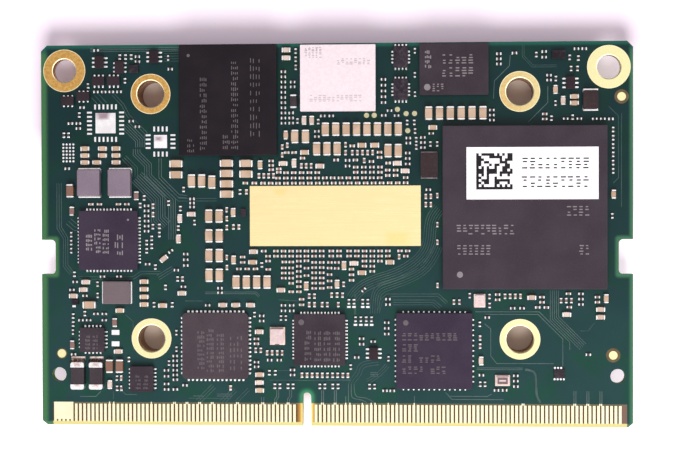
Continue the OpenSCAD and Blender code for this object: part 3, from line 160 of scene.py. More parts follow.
class Graph:
    """The node tree of a material or world, with the steps that the finishes share."""

    def __init__(self, owner: Union[bpy.types.Material, bpy.types.World]) -> None:
        """Start with an empty tree.

        Args:
            owner: The new material or world that the tree belongs to.
        """
        owner.use_nodes = True
        self.owner = owner
        self.tree = owner.node_tree
        self.tree.nodes.clear()
        self._place: bpy.types.NodeSocket | None = None

    @classmethod
    def of_material(cls, name: str) -> Graph:
        """Return the graph of a new material."""
        return cls(bpy.data.materials.new(name))

    def node(
        self, kind: str, settings: dict[str, object], inputs: dict[object, object]
    ) -> bpy.types.Node:
        """Add one node, set it up and feed its sockets.

        Args:
            kind: Blender's type name of the node.
            settings: Attributes that are set before the sockets.
            inputs: Value, Term or socket for each input, by its name or number.

        Returns:
            The new node.
        """
        made = self.tree.nodes.new(kind)
        for key, value in settings.items():
            setattr(made, key, value)
        for key, value in inputs.items():
            socket = made.inputs[key]
            if isinstance(value, Term):
                self.tree.links.new(value.socket, socket)
            elif isinstance(value, bpy.types.NodeSocket):
                self.tree.links.new(value, socket)
            elif isinstance(value, tuple) and socket.type == "RGBA":
                socket.default_value = (*value, 1.0)
            else:
                socket.default_value = value
        return made

    def maths(self, operation: str, *values: Number) -> Term:
        """Add a Math node.

        Args:
            operation: Blender's name of the operation.
            values: One to three values.

        Returns:
            The result as a Term.
        """
        made = self.node("ShaderNodeMath", {"operation": operation}, dict(enumerate(values)))
        return Term(self, made.outputs[0])

    def place(self) -> bpy.types.NodeSocket:
        """Find the point on the object, with one set of nodes for the whole graph.

        Returns:
            The point's socket, in millimetres.
        """
        if self._place is None:
            coords = self.node("ShaderNodeTexCoord", {}, {})
            scaled = self.node(
                "ShaderNodeVectorMath",
                {"operation": "SCALE"},
                {0: coords.outputs["Object"], "Scale": 1.0 / MM},
            )
            self._place = scaled.outputs[0]
        return self._place

    def axes(self) -> tuple[Term, Term, Term]:
        """Return the point's x, y and z in millimetres."""
        parts = self.node("ShaderNodeSeparateXYZ", {}, {0: self.place()})
        return tuple(Term(self, part) for part in parts.outputs)

    def facing_up(self) -> Term:
        """Measure how far the surface faces up.

        Returns:
            The z part of the surface's normal.
        """
        geometry = self.node("ShaderNodeNewGeometry", {}, {})
        parts = self.node("ShaderNodeSeparateXYZ", {}, {0: geometry.outputs["Normal"]})
        return Term(self, parts.outputs[2])

    def noise(self, scale: float, detail: float = 3.0, stretch: Triple = (1, 1, 1)) -> Term:
        """Add a noise pattern.

        Args:
            scale: Spots per millimetre.
            detail: Octaves of finer noise.
            stretch: Scale of the pattern along x, y and z.

        Returns:
            A value about one half.
        """
        mapped = self.node("ShaderNodeMapping", {}, {"Vector": self.place(), "Scale": stretch})
        made = self.node(
            "ShaderNodeTexNoise",
            {},
            {"Vector": mapped.outputs[0], "Scale": scale, "Detail": detail, "Roughness": NOISE_ROUGHNESS},
        )
        return Term(self, made.outputs[0])

    def mix(self, factor: Number, first: object, second: object) -> bpy.types.NodeSocket:
        """Blend two colours.

        Args:
            factor: Share of the second colour.
            first: Colour or socket at factor 0.
            second: Colour or socket at factor 1.

        Returns:
            The blended colour's socket.
        """
        made = self.node(
            "ShaderNodeMix",
            {"data_type": "RGBA", "clamp_factor": True},
            {MIX_FACTOR: factor, MIX_FIRST: first, MIX_SECOND: second},
        )
        return made.outputs[MIX_RESULT]

    def bump(self, height: Term, strength: float, reach_mm: float = 0.02) -> bpy.types.NodeSocket:
        """Turn a height into a bent normal.

        Args:
            height: Height pattern, from 0 to 1.
            strength: How much of the bump is used.
            reach_mm: Height in millimetres that the pattern spans.

        Returns:
            The normal's socket.
        """
        made = self.node(
            "ShaderNodeBump", {}, {"Height": height, "Strength": strength, "Distance": reach_mm * MM}
        )
        return made.outputs[0]

    def surface(self, inputs: dict[object, object]) -> bpy.types.Material:
        """Close the material with a Principled surface.

        Args:
            inputs: Values and links of the Principled sockets.

        Returns:
            The finished material.
        """
        shader = self.node("ShaderNodeBsdfPrincipled", {}, inputs)
        self.node("ShaderNodeOutputMaterial", {}, {"Surface": shader.outputs[0]})
        return self.owner


@dataclass(frozen=True)
class MaskFinish:
    """Green solder mask, with bare laminate at the contacts, on the bevel and at the cut edges."""

    name: str = "solder_mask"
    deep: Colour = (0.0008, 0.0180, 0.0196)
    deep_leaf: Colour = (0.0005, 0.0200, 0.0140)
    pale: Colour = (0.0105, 0.0430, 0.0425)
    pale_leaf: Colour = (0.0050, 0.0490, 0.0310)
    # painted glow: green light round the top of the key slot, mixed into the mask
    painted_slot_glow: Colour = (0.050, 0.270, 0.125)
    rim_left: Colour = (0.047, 0.152, 0.056)
    rim_right: Colour = (0.050, 0.160, 0.085)
    rim_top: Colour = (0.010, 0.095, 0.068)
    laminate: Colour = (0.048, 0.025, 0.009)
    laminate_pale: Colour = (0.078, 0.042, 0.016)
    laminate_end: Colour = (0.170, 0.106, 0.081)
    # painted glow: the bare laminate turns lit brown close to the key slot
    laminate_lit: Colour = (0.400, 0.200, 0.055)
    strip: Colour = (0.150, 0.132, 0.078)
    # painted glow: gold on the bare laminate right at the key slot's edge
    painted_key_glow: Colour = (0.880, 0.670, 0.175)
    bevel: Colour = (0.535, 0.470, 0.185)
    edge: Colour = (0.180, 0.260, 0.110)
    half_width: float = 34.8
    half_depth: float = 22.5
    latch_inner: float = 33.15
    latch_middle: float = -2.55
    latch_half: float = 2.02
    key_x: float = -3.27
    key_top: float = -19.05
    key_half: float = 0.5
    window_top: float = -19.79
    window_left: float = -33.55
    window_right: float = 34.1
    window_soft: float = 0.05
    bevel_span: Span = (-21.99, -22.07)
    cloud_scale: float = 0.16
    cloud_span: Span = (0.35, 0.68)
    weave_scale: float = 3.5
    leaf_scale: float = 0.3
    leaf_span: Span = (0.47, 0.66)
    leaf_share: float = 0.8
    slope_span: Span = (12.0, -20.0)
    slope_share: float = 0.72
    cloud_share: float = 0.2
    weave_share: float = 0.08
    margin_span: Span = (0.62, 0.12)
    left_span: Span = (0.95, 0.35)
    rim_side_span: Span = (-20.0, 20.0)
    rim_top_span: Span = (21.3, 21.9)
    rim_share: float = 0.72
    rim_weave: float = 0.3
    slot_glow_span: Span = (0.9, 0.02)
    slot_glow_share: float = 0.75
    end_span: Span = (33.2, 33.45)
    strip_span: Span = (-19.92, -19.87)
    lit_span: Span = (0.85, 0.3)
    key_glow_span: Span = (0.42, 0.02)
    key_glow_share: float = 0.85
    upright_span: Span = (0.6, 0.3)
    peel_scale: float = 2.2
    peel_bump: float = 0.12
    roughness: float = 0.34
    bare_rougher: float = 0.25
    edge_rougher: float = 0.3
    specular: float = 0.2

    def edge_distance(self, x: Term, y: Term) -> Term:
        """Measure how far a point lies from the nearest cut edge.

        Args:
            x: The point's x.
            y: The point's y.

        Returns:
            The distance in millimetres.
        """
        straight = (self.half_width - abs(x)).lower(self.half_depth - y).lower(y + self.half_depth)
        across = (self.latch_inner - abs(x)).upper(0.0)
        along = (abs(y - self.latch_middle) - self.latch_half).upper(0.0)
        return straight.lower(across.length(along))

    def key_distance(self, x: Term, y: Term) -> Term:
        """Measure how far a point lies from the key slot.

        Args:
            x: The point's x.
            y: The point's y.

        Returns:
            The distance in millimetres.
        """
        aside = x - self.key_x
        above = (y - self.key_top).upper(0.0)
        return aside.length(above) - self.key_half

    def mask_colour(self, graph: Graph, x: Term, y: Term, weave: Term) -> bpy.types.NodeSocket:
        """Colour the mask, which is paler towards the contacts and along the cut edges.

        Args:
            graph: The material's graph.
            x: The point's x.
            y: The point's y.
            weave: Pattern of the glass cloth.

        Returns:
            The colour's socket.
        """
        cloud = graph.noise(self.cloud_scale, detail=2.0).ramp(*self.cloud_span)
        slope = y.ramp(*self.slope_span)
        share = slope * self.slope_share + cloud * self.cloud_share + weave * self.weave_share
        leafy = graph.noise(self.leaf_scale, detail=2.0).ramp(*self.leaf_span) * self.leaf_share
        mask = graph.mix(share, self.deep, self.pale)
        mask = graph.mix(leafy, mask, graph.mix(share, self.deep_leaf, self.pale_leaf))
        margin = self.edge_distance(x, y).ramp(*self.margin_span)
        wide = (x + self.half_width).ramp(*self.left_span)
        rim = graph.mix(x.ramp(*self.rim_side_span), self.rim_left, self.rim_right)
        rim = graph.mix(y.ramp(*self.rim_top_span), rim, self.rim_top)
        return graph.mix(margin.upper(wide) * (self.rim_share + weave * self.rim_weave), mask, rim)

    def bare_colour(
        self, graph: Graph, x: Term, y: Term, key: Term, weave: Term
    ) -> bpy.types.NodeSocket:
        """Colour the bare laminate between the contacts, with painted glow beside the key slot.

        Args:
            graph: The material's graph.
            x: The point's x.
            y: The point's y.
            key: Distance from the key slot.
            weave: Pattern of the glass cloth.

        Returns:
            The colour's socket.
        """
        bare = graph.mix(weave.ramp(*NOISE_SPAN), self.laminate, self.laminate_pale)
        bare = graph.mix(x.ramp(*self.end_span), bare, self.laminate_end)
        bare = graph.mix(y.ramp(*self.strip_span), bare, self.strip)
        # painted glow beside the key slot: lit laminate, then gold at its edge
        bare = graph.mix(key.ramp(*self.lit_span), bare, self.laminate_lit)
        return graph.mix(key.ramp(*self.key_glow_span) * self.key_glow_share, bare, self.painted_key_glow)

    def build(self) -> bpy.types.Material:
        """Make the card's material.

        Returns:
            The material, with the mask, the bare window, the bevel and the cut edges.
        """
        graph = Graph.of_material(self.name)
        x, y, _ = graph.axes()
        weave = graph.noise(self.weave_scale, detail=2.0)
        key = self.key_distance(x, y)
        # painted glow round the key slot, strongest at its edge
        slot_glow_near = key.ramp(*self.slot_glow_span)
        mask = self.mask_colour(graph, x, y, weave)
        mask = graph.mix(slot_glow_near * slot_glow_near * self.slot_glow_share, mask, self.painted_slot_glow)
        soft = self.window_soft
        inside = x.ramp(self.window_left - soft, self.window_left + soft)
        inside = inside * x.ramp(self.window_right + soft, self.window_right - soft)
        window = y.ramp(self.window_top + soft, self.window_top - soft) * inside
        flat = graph.mix(window, mask, self.bare_colour(graph, x, y, key, weave))
        flat = graph.mix(y.ramp(*self.bevel_span) * inside, flat, self.bevel)
        upright = abs(graph.facing_up()).ramp(*self.upright_span)
        rough = self.roughness + window * self.bare_rougher + upright * self.edge_rougher
        return graph.surface({
            "Base Color": graph.mix(upright, flat, self.edge),
            "Roughness": rough,
            "Specular IOR Level": self.specular,
            "Normal": graph.bump(graph.noise(self.peel_scale, detail=2.0), self.peel_bump),
        })


class Axis(Enum):
    """The two directions along the card."""

    X = 0
    Y = 1


@dataclass(frozen=True)
class Drift:
    """A stretch of the card over which a finish turns into its other colour, as painted reflection and painted
    shade.
    """

    axis: Axis
    start: float
    end: float


@dataclass(frozen=True)
class MetalFinish:
    """Plated or soldered metal, with mottling and, where it is brushed, lines along x."""

    name: str
    bright: Colour
    dull: Colour
    roughness: float = 0.3
    spots: float = 3.0
    brushed: bool = False
    bump: float = 0.15
    other: Colour = (1.0, 1.0, 1.0)
    painted_light_drifts: tuple[Drift, ...] = ()
    smudge_shade_sheen: Colour = (0.30, 0.16, 0.20)
    smudge_shade_sheen_spots: tuple[Spot, ...] = ()
    brush_scale: float = 2.6
    brush_stretch: Triple = (0.05, 3.0, 1.0)
    brush_share: float = 0.8
    worn_span: Span = (0.32, 0.7)
    patch_squash: float = 1.7
    patch_ragged: float = 0.6
    patch_core: float = 0.4
    patch_share: float = 0.8
    dull_rougher: float = 0.12
    bright_smoother: float = 0.04

    def build(self) -> bpy.types.Material:
        """Make the metal's material.

        Returns:
            The material, with its painted light drifts and its spots of smudge, painted shade and painted
            reflection.
        """
        graph = Graph.of_material(self.name)
        mottle = graph.noise(self.spots)
        if self.brushed:
            lines = graph.noise(self.brush_scale, detail=4.0, stretch=self.brush_stretch)
            mottle = lines * self.brush_share + mottle * (1.0 - self.brush_share)
        worn = mottle.ramp(*self.worn_span)
        colour = graph.mix(worn, self.dull, self.bright)
        axes = graph.axes()
        # painted reflection and painted shade: the colour drifts along the card
        for drift in self.painted_light_drifts:
            share = axes[drift.axis.value].ramp(drift.start, drift.end)
            colour = graph.mix(share, colour, self.other)
        # spots of smudge, painted shade and painted reflection
        for middle_x, middle_y, reach in self.smudge_shade_sheen_spots:
            away = abs(axes[0] - middle_x).upper(abs(axes[1] - middle_y) * self.patch_squash)
            away = away + mottle * self.patch_ragged
            share = away.ramp(reach, reach * self.patch_core) * self.patch_share
            colour = graph.mix(share, colour, self.smudge_shade_sheen)
        rough = self.roughness + self.dull_rougher
        smooth = self.roughness - self.bright_smoother
        return graph.surface({
            "Base Color": colour,
            "Metallic": 1.0,
            "Roughness": worn.ramp(0.0, 1.0, rough, smooth),
            "Normal": graph.bump(mottle, self.bump),
        })


@dataclass(frozen=True)
class SpacerFinish:
    """Bright tin outside and a brown bore, darker in part as painted shade."""

    name: str = "spacer_tin"
    outside: Colour = (0.66, 0.64, 0.62)
    # the bore's brown is partly its own tone and partly painted shade, so the floor seen through it stays dim
    inside: Colour = (0.31, 0.178, 0.125)
    half_x: float = 21.7
    half_y: float = 14.45
    middle_y: float = 2.25
    bore_span: Span = (1.95, 1.75)
    metallic: float = 0.9
    bore_duller: float = 0.8
    bore_rougher: float = 0.25
    scratch_scale: float = 2.0
    scratch_bump: float = 0.08
    scratch_gloss: Span = (0.3, 0.4)

    def build(self) -> bpy.types.Material:
        """Make the spacers' material.

        Returns:
            The material, with the bore told apart by its distance from the hole's middle.
        """
        graph = Graph.of_material(self.name)
        x, y, _ = graph.axes()
        aside = abs(x) - self.half_x
        above = abs(y - self.middle_y) - self.half_y
        bore = aside.length(above).ramp(*self.bore_span)
        scratch = graph.noise(self.scratch_scale)
        return graph.surface({
            "Base Color": graph.mix(bore, self.outside, self.inside),
            "Metallic": self.metallic - bore * self.bore_duller,
            "Roughness": scratch.ramp(*NOISE_SPAN, *self.scratch_gloss) + bore * self.bore_rougher,
            "Normal": graph.bump(scratch, self.scratch_bump),
        })


@dataclass(frozen=True)
class MouldFinish:
    """Moulding compound of a package: matt, with fine grain and a faint cast."""

    name: str
    colour: Colour
    speck: Colour
    roughness: float = 0.55
    grain: float = 9.0
    bump: float = 0.35
    grain_span: Span = (0.42, 0.75)
    grain_share: float = 0.55
    grain_high: float = 0.012
    cast_scale: float = 0.25
    smoother: float = 0.06
    rougher: float = 0.08
    specular: float = 0.21

    def build(self) -> bpy.types.Material:
        """Make the compound's material.

        Returns:
            The material, with its grain and cast.
        """
        graph = Graph.of_material(self.name)
        grain = graph.noise(self.grain)
        cast = graph.noise(self.cast_scale, detail=2.0).ramp(*NOISE_SPAN)
        share = grain.ramp(*self.grain_span) * self.grain_share + cast * (1.0 - self.grain_share)
        smooth = self.roughness - self.smoother
        return graph.surface({
            "Base Color": graph.mix(share, self.colour, self.speck),
            "Roughness": grain.ramp(*NOISE_SPAN, smooth, self.roughness + self.rougher),
            "Specular IOR Level": self.specular,
            "Normal": graph.bump(grain, self.bump, self.grain_high),
        })


@dataclass(frozen=True)
class CeramicFinish:
    """Fired ceramic of a chip part, whose colour drifts from part to part."""

    name: str
    light: Colour
    dark: Colour
    roughness: float = 0.42
    drift: float = 0.5
    brown: Colour = (0.26, 0.155, 0.105)
    brown_at: tuple[Spot, ...] = ()
    batch_span: Span = (0.38, 0.62)
    batch_share: float = 0.75
    fleck_scale: float = 7.0
    fleck_bump: float = 0.2
    fleck_high: float = 0.01
    smoother: float = 0.05
    rougher: float = 0.08
    brown_share: float = 0.85
    brown_soft: float = 0.05

    def build(self) -> bpy.types.Material:
        """Make the ceramic's material.

        Returns:
            The material, with the parts of a browner batch.
        """
        graph = Graph.of_material(self.name)
        x, y, _ = graph.axes()
        batch = graph.noise(self.drift, detail=1.0).ramp(*self.batch_span)
        fleck = graph.noise(self.fleck_scale, detail=2.0)
        share = batch * self.batch_share + fleck * (1.0 - self.batch_share)
        colour = graph.mix(share, self.light, self.dark)
        brown = self.brown_share + fleck * (1.0 - self.brown_share)
        for middle_x, middle_y, reach in self.brown_at:
            away = abs(x - middle_x).upper(abs(y - middle_y))
            near = away.ramp(reach, reach - self.brown_soft)
            colour = graph.mix(near * brown, colour, self.brown)
        smooth = self.roughness - self.smoother
        return graph.surface({
            "Base Color": colour,
            "Roughness": fleck.ramp(*NOISE_SPAN, smooth, self.roughness + self.rougher),
            "Normal": graph.bump(fleck, self.fleck_bump, self.fleck_high),
        })


@dataclass(frozen=True)
class FilmFinish:
    """White printed film of the label."""

    name: str = "label_film"
    white: Colour = (0.95, 0.93, 0.95)
    shade: Colour = (0.91, 0.885, 0.91)
    fibre_scale: float = 1.3
    fibre_bump: float = 0.1
    shade_span: Span = (0.35, 0.7)
    gloss_span: Span = (0.38, 0.5)

    def build(self) -> bpy.types.Material:
        """Make the film's material.

        Returns:
            The material, with its faint fibres.
        """
        graph = Graph.of_material(self.name)
        fibre = graph.noise(self.fibre_scale)
        return graph.surface({
            "Base Color": graph.mix(fibre.ramp(*self.shade_span), self.white, self.shade),
            "Roughness": fibre.ramp(*NOISE_SPAN, *self.gloss_span),
            "Normal": graph.bump(fibre, self.fibre_bump),
        })


class Shelf(Enum):
    """Every finish on the module."""

    MASK = MaskFinish()
    GOLD = MetalFinish("contact_gold", (0.955, 0.905, 0.64), (0.935, 0.865, 0.585), 0.26, 0.5, bump=0.03)
    DOT_GOLD = MetalFinish("dot_gold", (0.64, 0.59, 0.39), (0.53, 0.475, 0.29), 0.3, 4.0, bump=0.03)
    # painted reflection: the rings run from orange at the upper left to pale gold at the lower right, as the
    # lit side is reflected; the gold is their own colour
    RING_GOLD = MetalFinish(
        "ring_gold", (0.74, 0.435, 0.135), (0.59, 0.32, 0.085), 0.26, 3.5, bump=0.03,
        other=(0.88, 0.815, 0.44), painted_light_drifts=(Drift(Axis.Y, 5.0, -8.0), Drift(Axis.X, 12.0, 32.0)),
    )
    # painted highlight: a paler gold than the rings, for the lips' bright lines
    LIP_GOLD = MetalFinish("ring_lip", (1.0, 0.90, 0.62), (0.97, 0.84, 0.52), 0.2, 2.0, bump=0.02)
    PAD_GOLD = MetalFinish(
        "pad_gold", (0.98, 0.80, 0.435), (0.955, 0.755, 0.39), 0.30, 1.2, True, 0.03,
        smudge_shade_sheen=(0.95, 0.725, 0.30), smudge_shade_sheen_spots=((-6.4, 5.1, 1.3), (7.4, -0.4, 2.2)),
    )
    # painted reflection: pinkish spots on the two large lands at the upper left
    LAND = MetalFinish(
        "bare_land", (0.98, 0.96, 0.965), (0.92, 0.87, 0.885), 0.24, 0.9, bump=0.03,
        smudge_shade_sheen_spots=((-27.4, 14.15, 1.4), (-20.8, 11.4, 1.05)),
    )
    SOLDER = MetalFinish("solder_joint", (0.98, 0.97, 0.97), (0.88, 0.86, 0.86), 0.25, 4.0)
    TIN = MetalFinish("tinned_lead", (0.97, 0.95, 0.95), (0.82, 0.79, 0.79), 0.28, 6.0)
    # painted shade: pinkish brown spots in the middle of the dark chip inductors' caps
    SHADED_TIN = MetalFinish(
        "shaded_cap", (0.97, 0.95, 0.95), (0.82, 0.79, 0.79), 0.28, 6.0, smudge_shade_sheen=(0.56, 0.36, 0.33),
        smudge_shade_sheen_spots=((-30.34, -15.2, 0.9), (-28.14, -15.2, 0.9), (-30.34, -17.6, 0.85), (-28.14, -17.6, 0.85)),
    )
    # painted shade: clips left of x = 18 are dark, as in the shadow beside the black inductor there; beyond x =
    # 24 they are bright tin
    SHADED_CLIP_TIN = MetalFinish(
        "shaded_clip", (0.30, 0.25, 0.26), (0.16, 0.13, 0.14), 0.4, 1.5,
        other=(0.95, 0.93, 0.93), painted_light_drifts=(Drift(Axis.X, 18.0, 24.0),),
    )
    SPACER = SpacerFinish()
    FILLET = MetalFinish("drawn_solder", (0.93, 0.80, 0.75), (0.45, 0.30, 0.25), 0.2, 2.0)
    LID = MetalFinish("crystal_cover", (0.80, 0.64, 0.625), (0.71, 0.555, 0.545), 0.34, 2.0)
    SHIELD = CeramicFinish("shield_coat", (0.80, 0.69, 0.722), (0.74, 0.63, 0.66), 0.42, 3.0)
    GREY_MOULD = MouldFinish("grey_compound", (0.026, 0.017, 0.024), (0.052, 0.039, 0.048))
    NET_MOULD = MouldFinish("warm_compound", (0.042, 0.029, 0.037), (0.072, 0.054, 0.064))
    CORE_MOULD = MouldFinish("coprocessor_compound", (0.033, 0.023, 0.032), (0.053, 0.039, 0.051), 0.5, 6.0)
    VIOLET_MOULD = MouldFinish("violet_compound", (0.025, 0.016, 0.032), (0.046, 0.034, 0.055))
    SMALL_MOULD = MouldFinish("small_compound", (0.013, 0.007, 0.010), (0.038, 0.024, 0.031))
    WOUND_BLACK = MouldFinish("wound_black", (0.022, 0.012, 0.014), (0.048, 0.029, 0.033), 0.45, 3.0)
    SWITCH_MOULD = MouldFinish("mottled_compound", (0.006, 0.003, 0.007), (0.078, 0.059, 0.076), 0.5, 2.4)
    WAFER = MouldFinish("wafer_film", (0.008, 0.005, 0.008), (0.056, 0.040, 0.051), 0.5, 1.9)
    BLACK_MOULD = MouldFinish("black_compound", (0.004, 0.002, 0.004), (0.015, 0.010, 0.014))
    TAN = CeramicFinish(
        "tan_dielectric", (0.535, 0.382, 0.280), (0.425, 0.287, 0.193),
        brown=(0.165, 0.072, 0.048),
        brown_at=((-26.65, -15.45, 0.6), (-25.45, -15.45, 0.6), (-31.25, 5.28, 0.85)),
    )
    SMALL_TAN = CeramicFinish("small_dielectric", (0.38, 0.235, 0.185), (0.13, 0.072, 0.064), 0.42, 0.4)
    PALE = CeramicFinish(
        "pale_dielectric", (0.66, 0.54, 0.485), (0.47, 0.345, 0.28), 0.42, 0.35,
        brown=(0.17, 0.085, 0.075),
        brown_at=((-31.1, -12.95, 0.55), (-26.05, -10.3, 0.55), (-31.1, 2.87, 0.55), (-23.4, 4.67, 0.55)),
    )
    GLAZE = CeramicFinish("dark_glaze", (0.016, 0.011, 0.014), (0.060, 0.042, 0.044), 0.3, 0.4)
    LILAC = MouldFinish("lilac_core", (0.188, 0.142, 0.182), (0.238, 0.188, 0.228), 0.5, 7.0)
    DUSKY_CORE = MouldFinish("dusky_core", (0.120, 0.090, 0.099), (0.156, 0.122, 0.130), 0.5, 7.0)
    DARK_FERRITE = MouldFinish("dark_core", (0.030, 0.022, 0.027), (0.060, 0.047, 0.052), 0.38, 5.0)
    FRAME_CERAMIC = CeramicFinish("crystal_frame", (0.80, 0.66, 0.60), (0.60, 0.46, 0.40))
    FILM = FilmFinish()
    TRACE = MouldFinish("masked_copper", (0.026, 0.062, 0.060), (0.072, 0.108, 0.107), 0.3, 0.6, 0.1)
    BOLD_TRACE = MouldFinish(
        "thin_masked_copper", (0.060, 0.096, 0.096), (0.108, 0.142, 0.143), 0.3, 0.6, 0.1
    )
    BARE = CeramicFinish("bare_laminate", (0.12, 0.075, 0.030), (0.08, 0.050, 0.020), 0.5, 2.0)
    LASER = MouldFinish("laser_mark", (0.20, 0.175, 0.19), (0.29, 0.26, 0.275), 0.6, 8.0)
    FAINT_LASER = MouldFinish("faint_laser_mark", (0.095, 0.080, 0.090), (0.15, 0.128, 0.138), 0.6, 8.0)
    INK = MouldFinish("label_ink", (0.006, 0.005, 0.007), (0.018, 0.016, 0.018), 0.45, 6.0)
    # painted shade for the crystals' recess, step and notch
    SHADE_PANEL = MouldFinish("crystal_panel", (0.13, 0.085, 0.085), (0.21, 0.145, 0.145), 0.45, 5.0)
    BAR = MouldFinish("crystal_bar", (0.58, 0.42, 0.42), (0.72, 0.56, 0.56), 0.45, 5.0)
    STAMP = MouldFinish("shield_mark", (0.42, 0.35, 0.37), (0.56, 0.49, 0.51), 0.6, 6.0)

    def material(self) -> bpy.types.Material:
        """Make this finish's material at its first use.

        Returns:
            The material, the same one each time.
        """
        if self not in MADE:
            MADE[self] = self.value.build()
        return MADE[self]


# The material of each finish that is in use.
MADE: dict[Shelf, bpy.types.Material] = {}


@dataclass(frozen=True)
class Dress:
    """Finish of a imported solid, and the width of the round on its edges in millimetres."""

    finish: Shelf
    rounding: float = 0.0


NODE_DRESS: dict[str, Dress] = {
    "circuit_board": Dress(Shelf.MASK),
    "edge_contacts_top": Dress(Shelf.GOLD),
    "edge_contacts_bottom": Dress(Shelf.GOLD),
    "corner_hole_plating": Dress(Shelf.RING_GOLD, 0.04),
    "cooler_hole_plating": Dress(Shelf.RING_GOLD, 0.04),
    "cooler_spacers": Dress(Shelf.SPACER),
    "fiducials": Dress(Shelf.RING_GOLD),
    "test_pads": Dress(Shelf.DOT_GOLD),
    "thermal_pad": Dress(Shelf.PAD_GOLD),
    "solder_lands": Dress(Shelf.LAND),
    "coprocessor": Dress(Shelf.CORE_MOULD, 0.07),
    "coprocessor_balls": Dress(Shelf.SOLDER),
    "code_label": Dress(Shelf.FILM),
    "storage_flash": Dress(Shelf.BLACK_MOULD, 0.06),
    "storage_flash_balls": Dress(Shelf.SOLDER),
    "boot_flash": Dress(Shelf.GREY_MOULD, 0.06),
    "boot_flash_balls": Dress(Shelf.SOLDER),
    "radio_module": Dress(Shelf.SHIELD, 0.05),
    "radio_lands": Dress(Shelf.GOLD),
    "power_controller": Dress(Shelf.VIOLET_MOULD, 0.05),
    "power_controller_leads": Dress(Shelf.TIN, 0.05),
    "network_chip": Dress(Shelf.NET_MOULD, 0.06),
    "network_chip_leads": Dress(Shelf.TIN, 0.06),
    "hub_chip": Dress(Shelf.VIOLET_MOULD, 0.05),
    "hub_chip_leads": Dress(Shelf.TIN, 0.06),
    "display_bridge": Dress(Shelf.GREY_MOULD, 0.05),
    "display_bridge_leads": Dress(Shelf.TIN, 0.05),
    "regulator": Dress(Shelf.GREY_MOULD, 0.04),
    "regulator_leads": Dress(Shelf.TIN, 0.05),
    "load_driver": Dress(Shelf.GREY_MOULD, 0.04),
    "load_driver_leads": Dress(Shelf.TIN, 0.05),
    "signal_switches": Dress(Shelf.SWITCH_MOULD, 0.04),
    "signal_switch_leads": Dress(Shelf.TIN, 0.05),
    "transistors": Dress(Shelf.SMALL_MOULD, 0.05),
    "transistor_leads": Dress(Shelf.TIN, 0.05),
    "wafer_chips": Dress(Shelf.WAFER, 0.03),
    "power_inductors": Dress(Shelf.LILAC, 0.1),
    "power_inductor_clips": Dress(Shelf.TIN, 0.05),
    "flat_inductor": Dress(Shelf.DUSKY_CORE, 0.1),
    "flat_inductor_clips": Dress(Shelf.TIN, 0.05),
    "chip_inductors": Dress(Shelf.DARK_FERRITE, 0.08),
    "chip_inductor_caps": Dress(Shelf.SHADED_TIN, 0.16),
    "black_inductors": Dress(Shelf.WOUND_BLACK, 0.12),
    "black_inductor_clips": Dress(Shelf.SHADED_CLIP_TIN, 0.05),
    "crystal_bases": Dress(Shelf.FRAME_CERAMIC, 0.03),
    "crystal_lids": Dress(Shelf.LID, 0.05),
    "large_capacitors": Dress(Shelf.TAN, 0.05),
    "large_capacitor_caps": Dress(Shelf.SOLDER, 0.1),
    "middle_capacitors": Dress(Shelf.TAN, 0.04),
    "pale_capacitors": Dress(Shelf.PALE, 0.04),
    "middle_capacitor_caps": Dress(Shelf.SOLDER, 0.08),
    "small_capacitors": Dress(Shelf.SMALL_TAN),
    "chip_resistors": Dress(Shelf.GLAZE),
    "small_part_caps": Dress(Shelf.SOLDER, 0.05),
    "processor": Dress(Shelf.GREY_MOULD, 0.06),
    "processor_balls": Dress(Shelf.SOLDER),
    "memory_packages": Dress(Shelf.BLACK_MOULD, 0.06),
    "memory_balls": Dress(Shelf.SOLDER),
    "underside_capacitors": Dress(Shelf.TAN, 0.04),
    "underside_capacitor_caps": Dress(Shelf.SOLDER, 0.08),
}


def link(name: str, data: bpy.types.ID) -> bpy.types.Object:
    """Put a new object in the scene.

    Args:
        name: Name of the object.
        data: Its mesh, curve, lamp or camera.

    Returns:
        The new object, at the origin.
    """
    made = bpy.data.objects.new(name, data)
    bpy.context.scene.collection.objects.link(made)
    return made


def add_piece(name: str, shape: bmesh.types.BMesh, finish: Shelf) -> None:
    """Make a new piece, dress it and let it ride on the module.

    Args:
        name: Name of the piece and of its mesh.
        shape: Its finished bmesh, in millimetres and in place.
        finish: Its finish.
    """
    mesh = mesh_from(shape, name)
    piece = link(name, mesh)
    mesh.materials.append(finish.material())
    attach(piece, BODY)
    LOG.info("piece %s: %d faces", name, len(mesh.polygons))


def mesh_from(shape: bmesh.types.BMesh, name: str) -> bpy.types.Mesh:
    """Turn a bmesh into a mesh and free it.

    Args:
        shape: The finished bmesh, in millimetres.
        name: Name of the mesh.

    Returns:
        The mesh, in metres.
    """
    bmesh.ops.scale(shape, vec=(MM, MM, MM), verts=shape.verts)
    bmesh.ops.recalc_face_normals(shape, faces=shape.faces)
    mesh = bpy.data.meshes.new(name)
    shape.to_mesh(mesh)
    shape.free()
    return mesh


def add_plate(shape: bmesh.types.BMesh, at: Vector, size: Vector, turn: float = 0.0) -> None:
    """Add a thin block that stands on a surface.

    Args:
        shape: The bmesh that takes it.
        at: Middle of its foot, in millimetres.
        size: Its width, depth and height.
        turn: Turn about z in degrees.
    """
    middle = Matrix.Translation(at + Vector((0, 0, size.z / 2)))
    turned = Matrix.Rotation(math.radians(turn), 4, "Z")
    bmesh.ops.create_cube(shape, size=1.0, matrix=middle @ turned @ Matrix.Diagonal((*size, 1.0)))


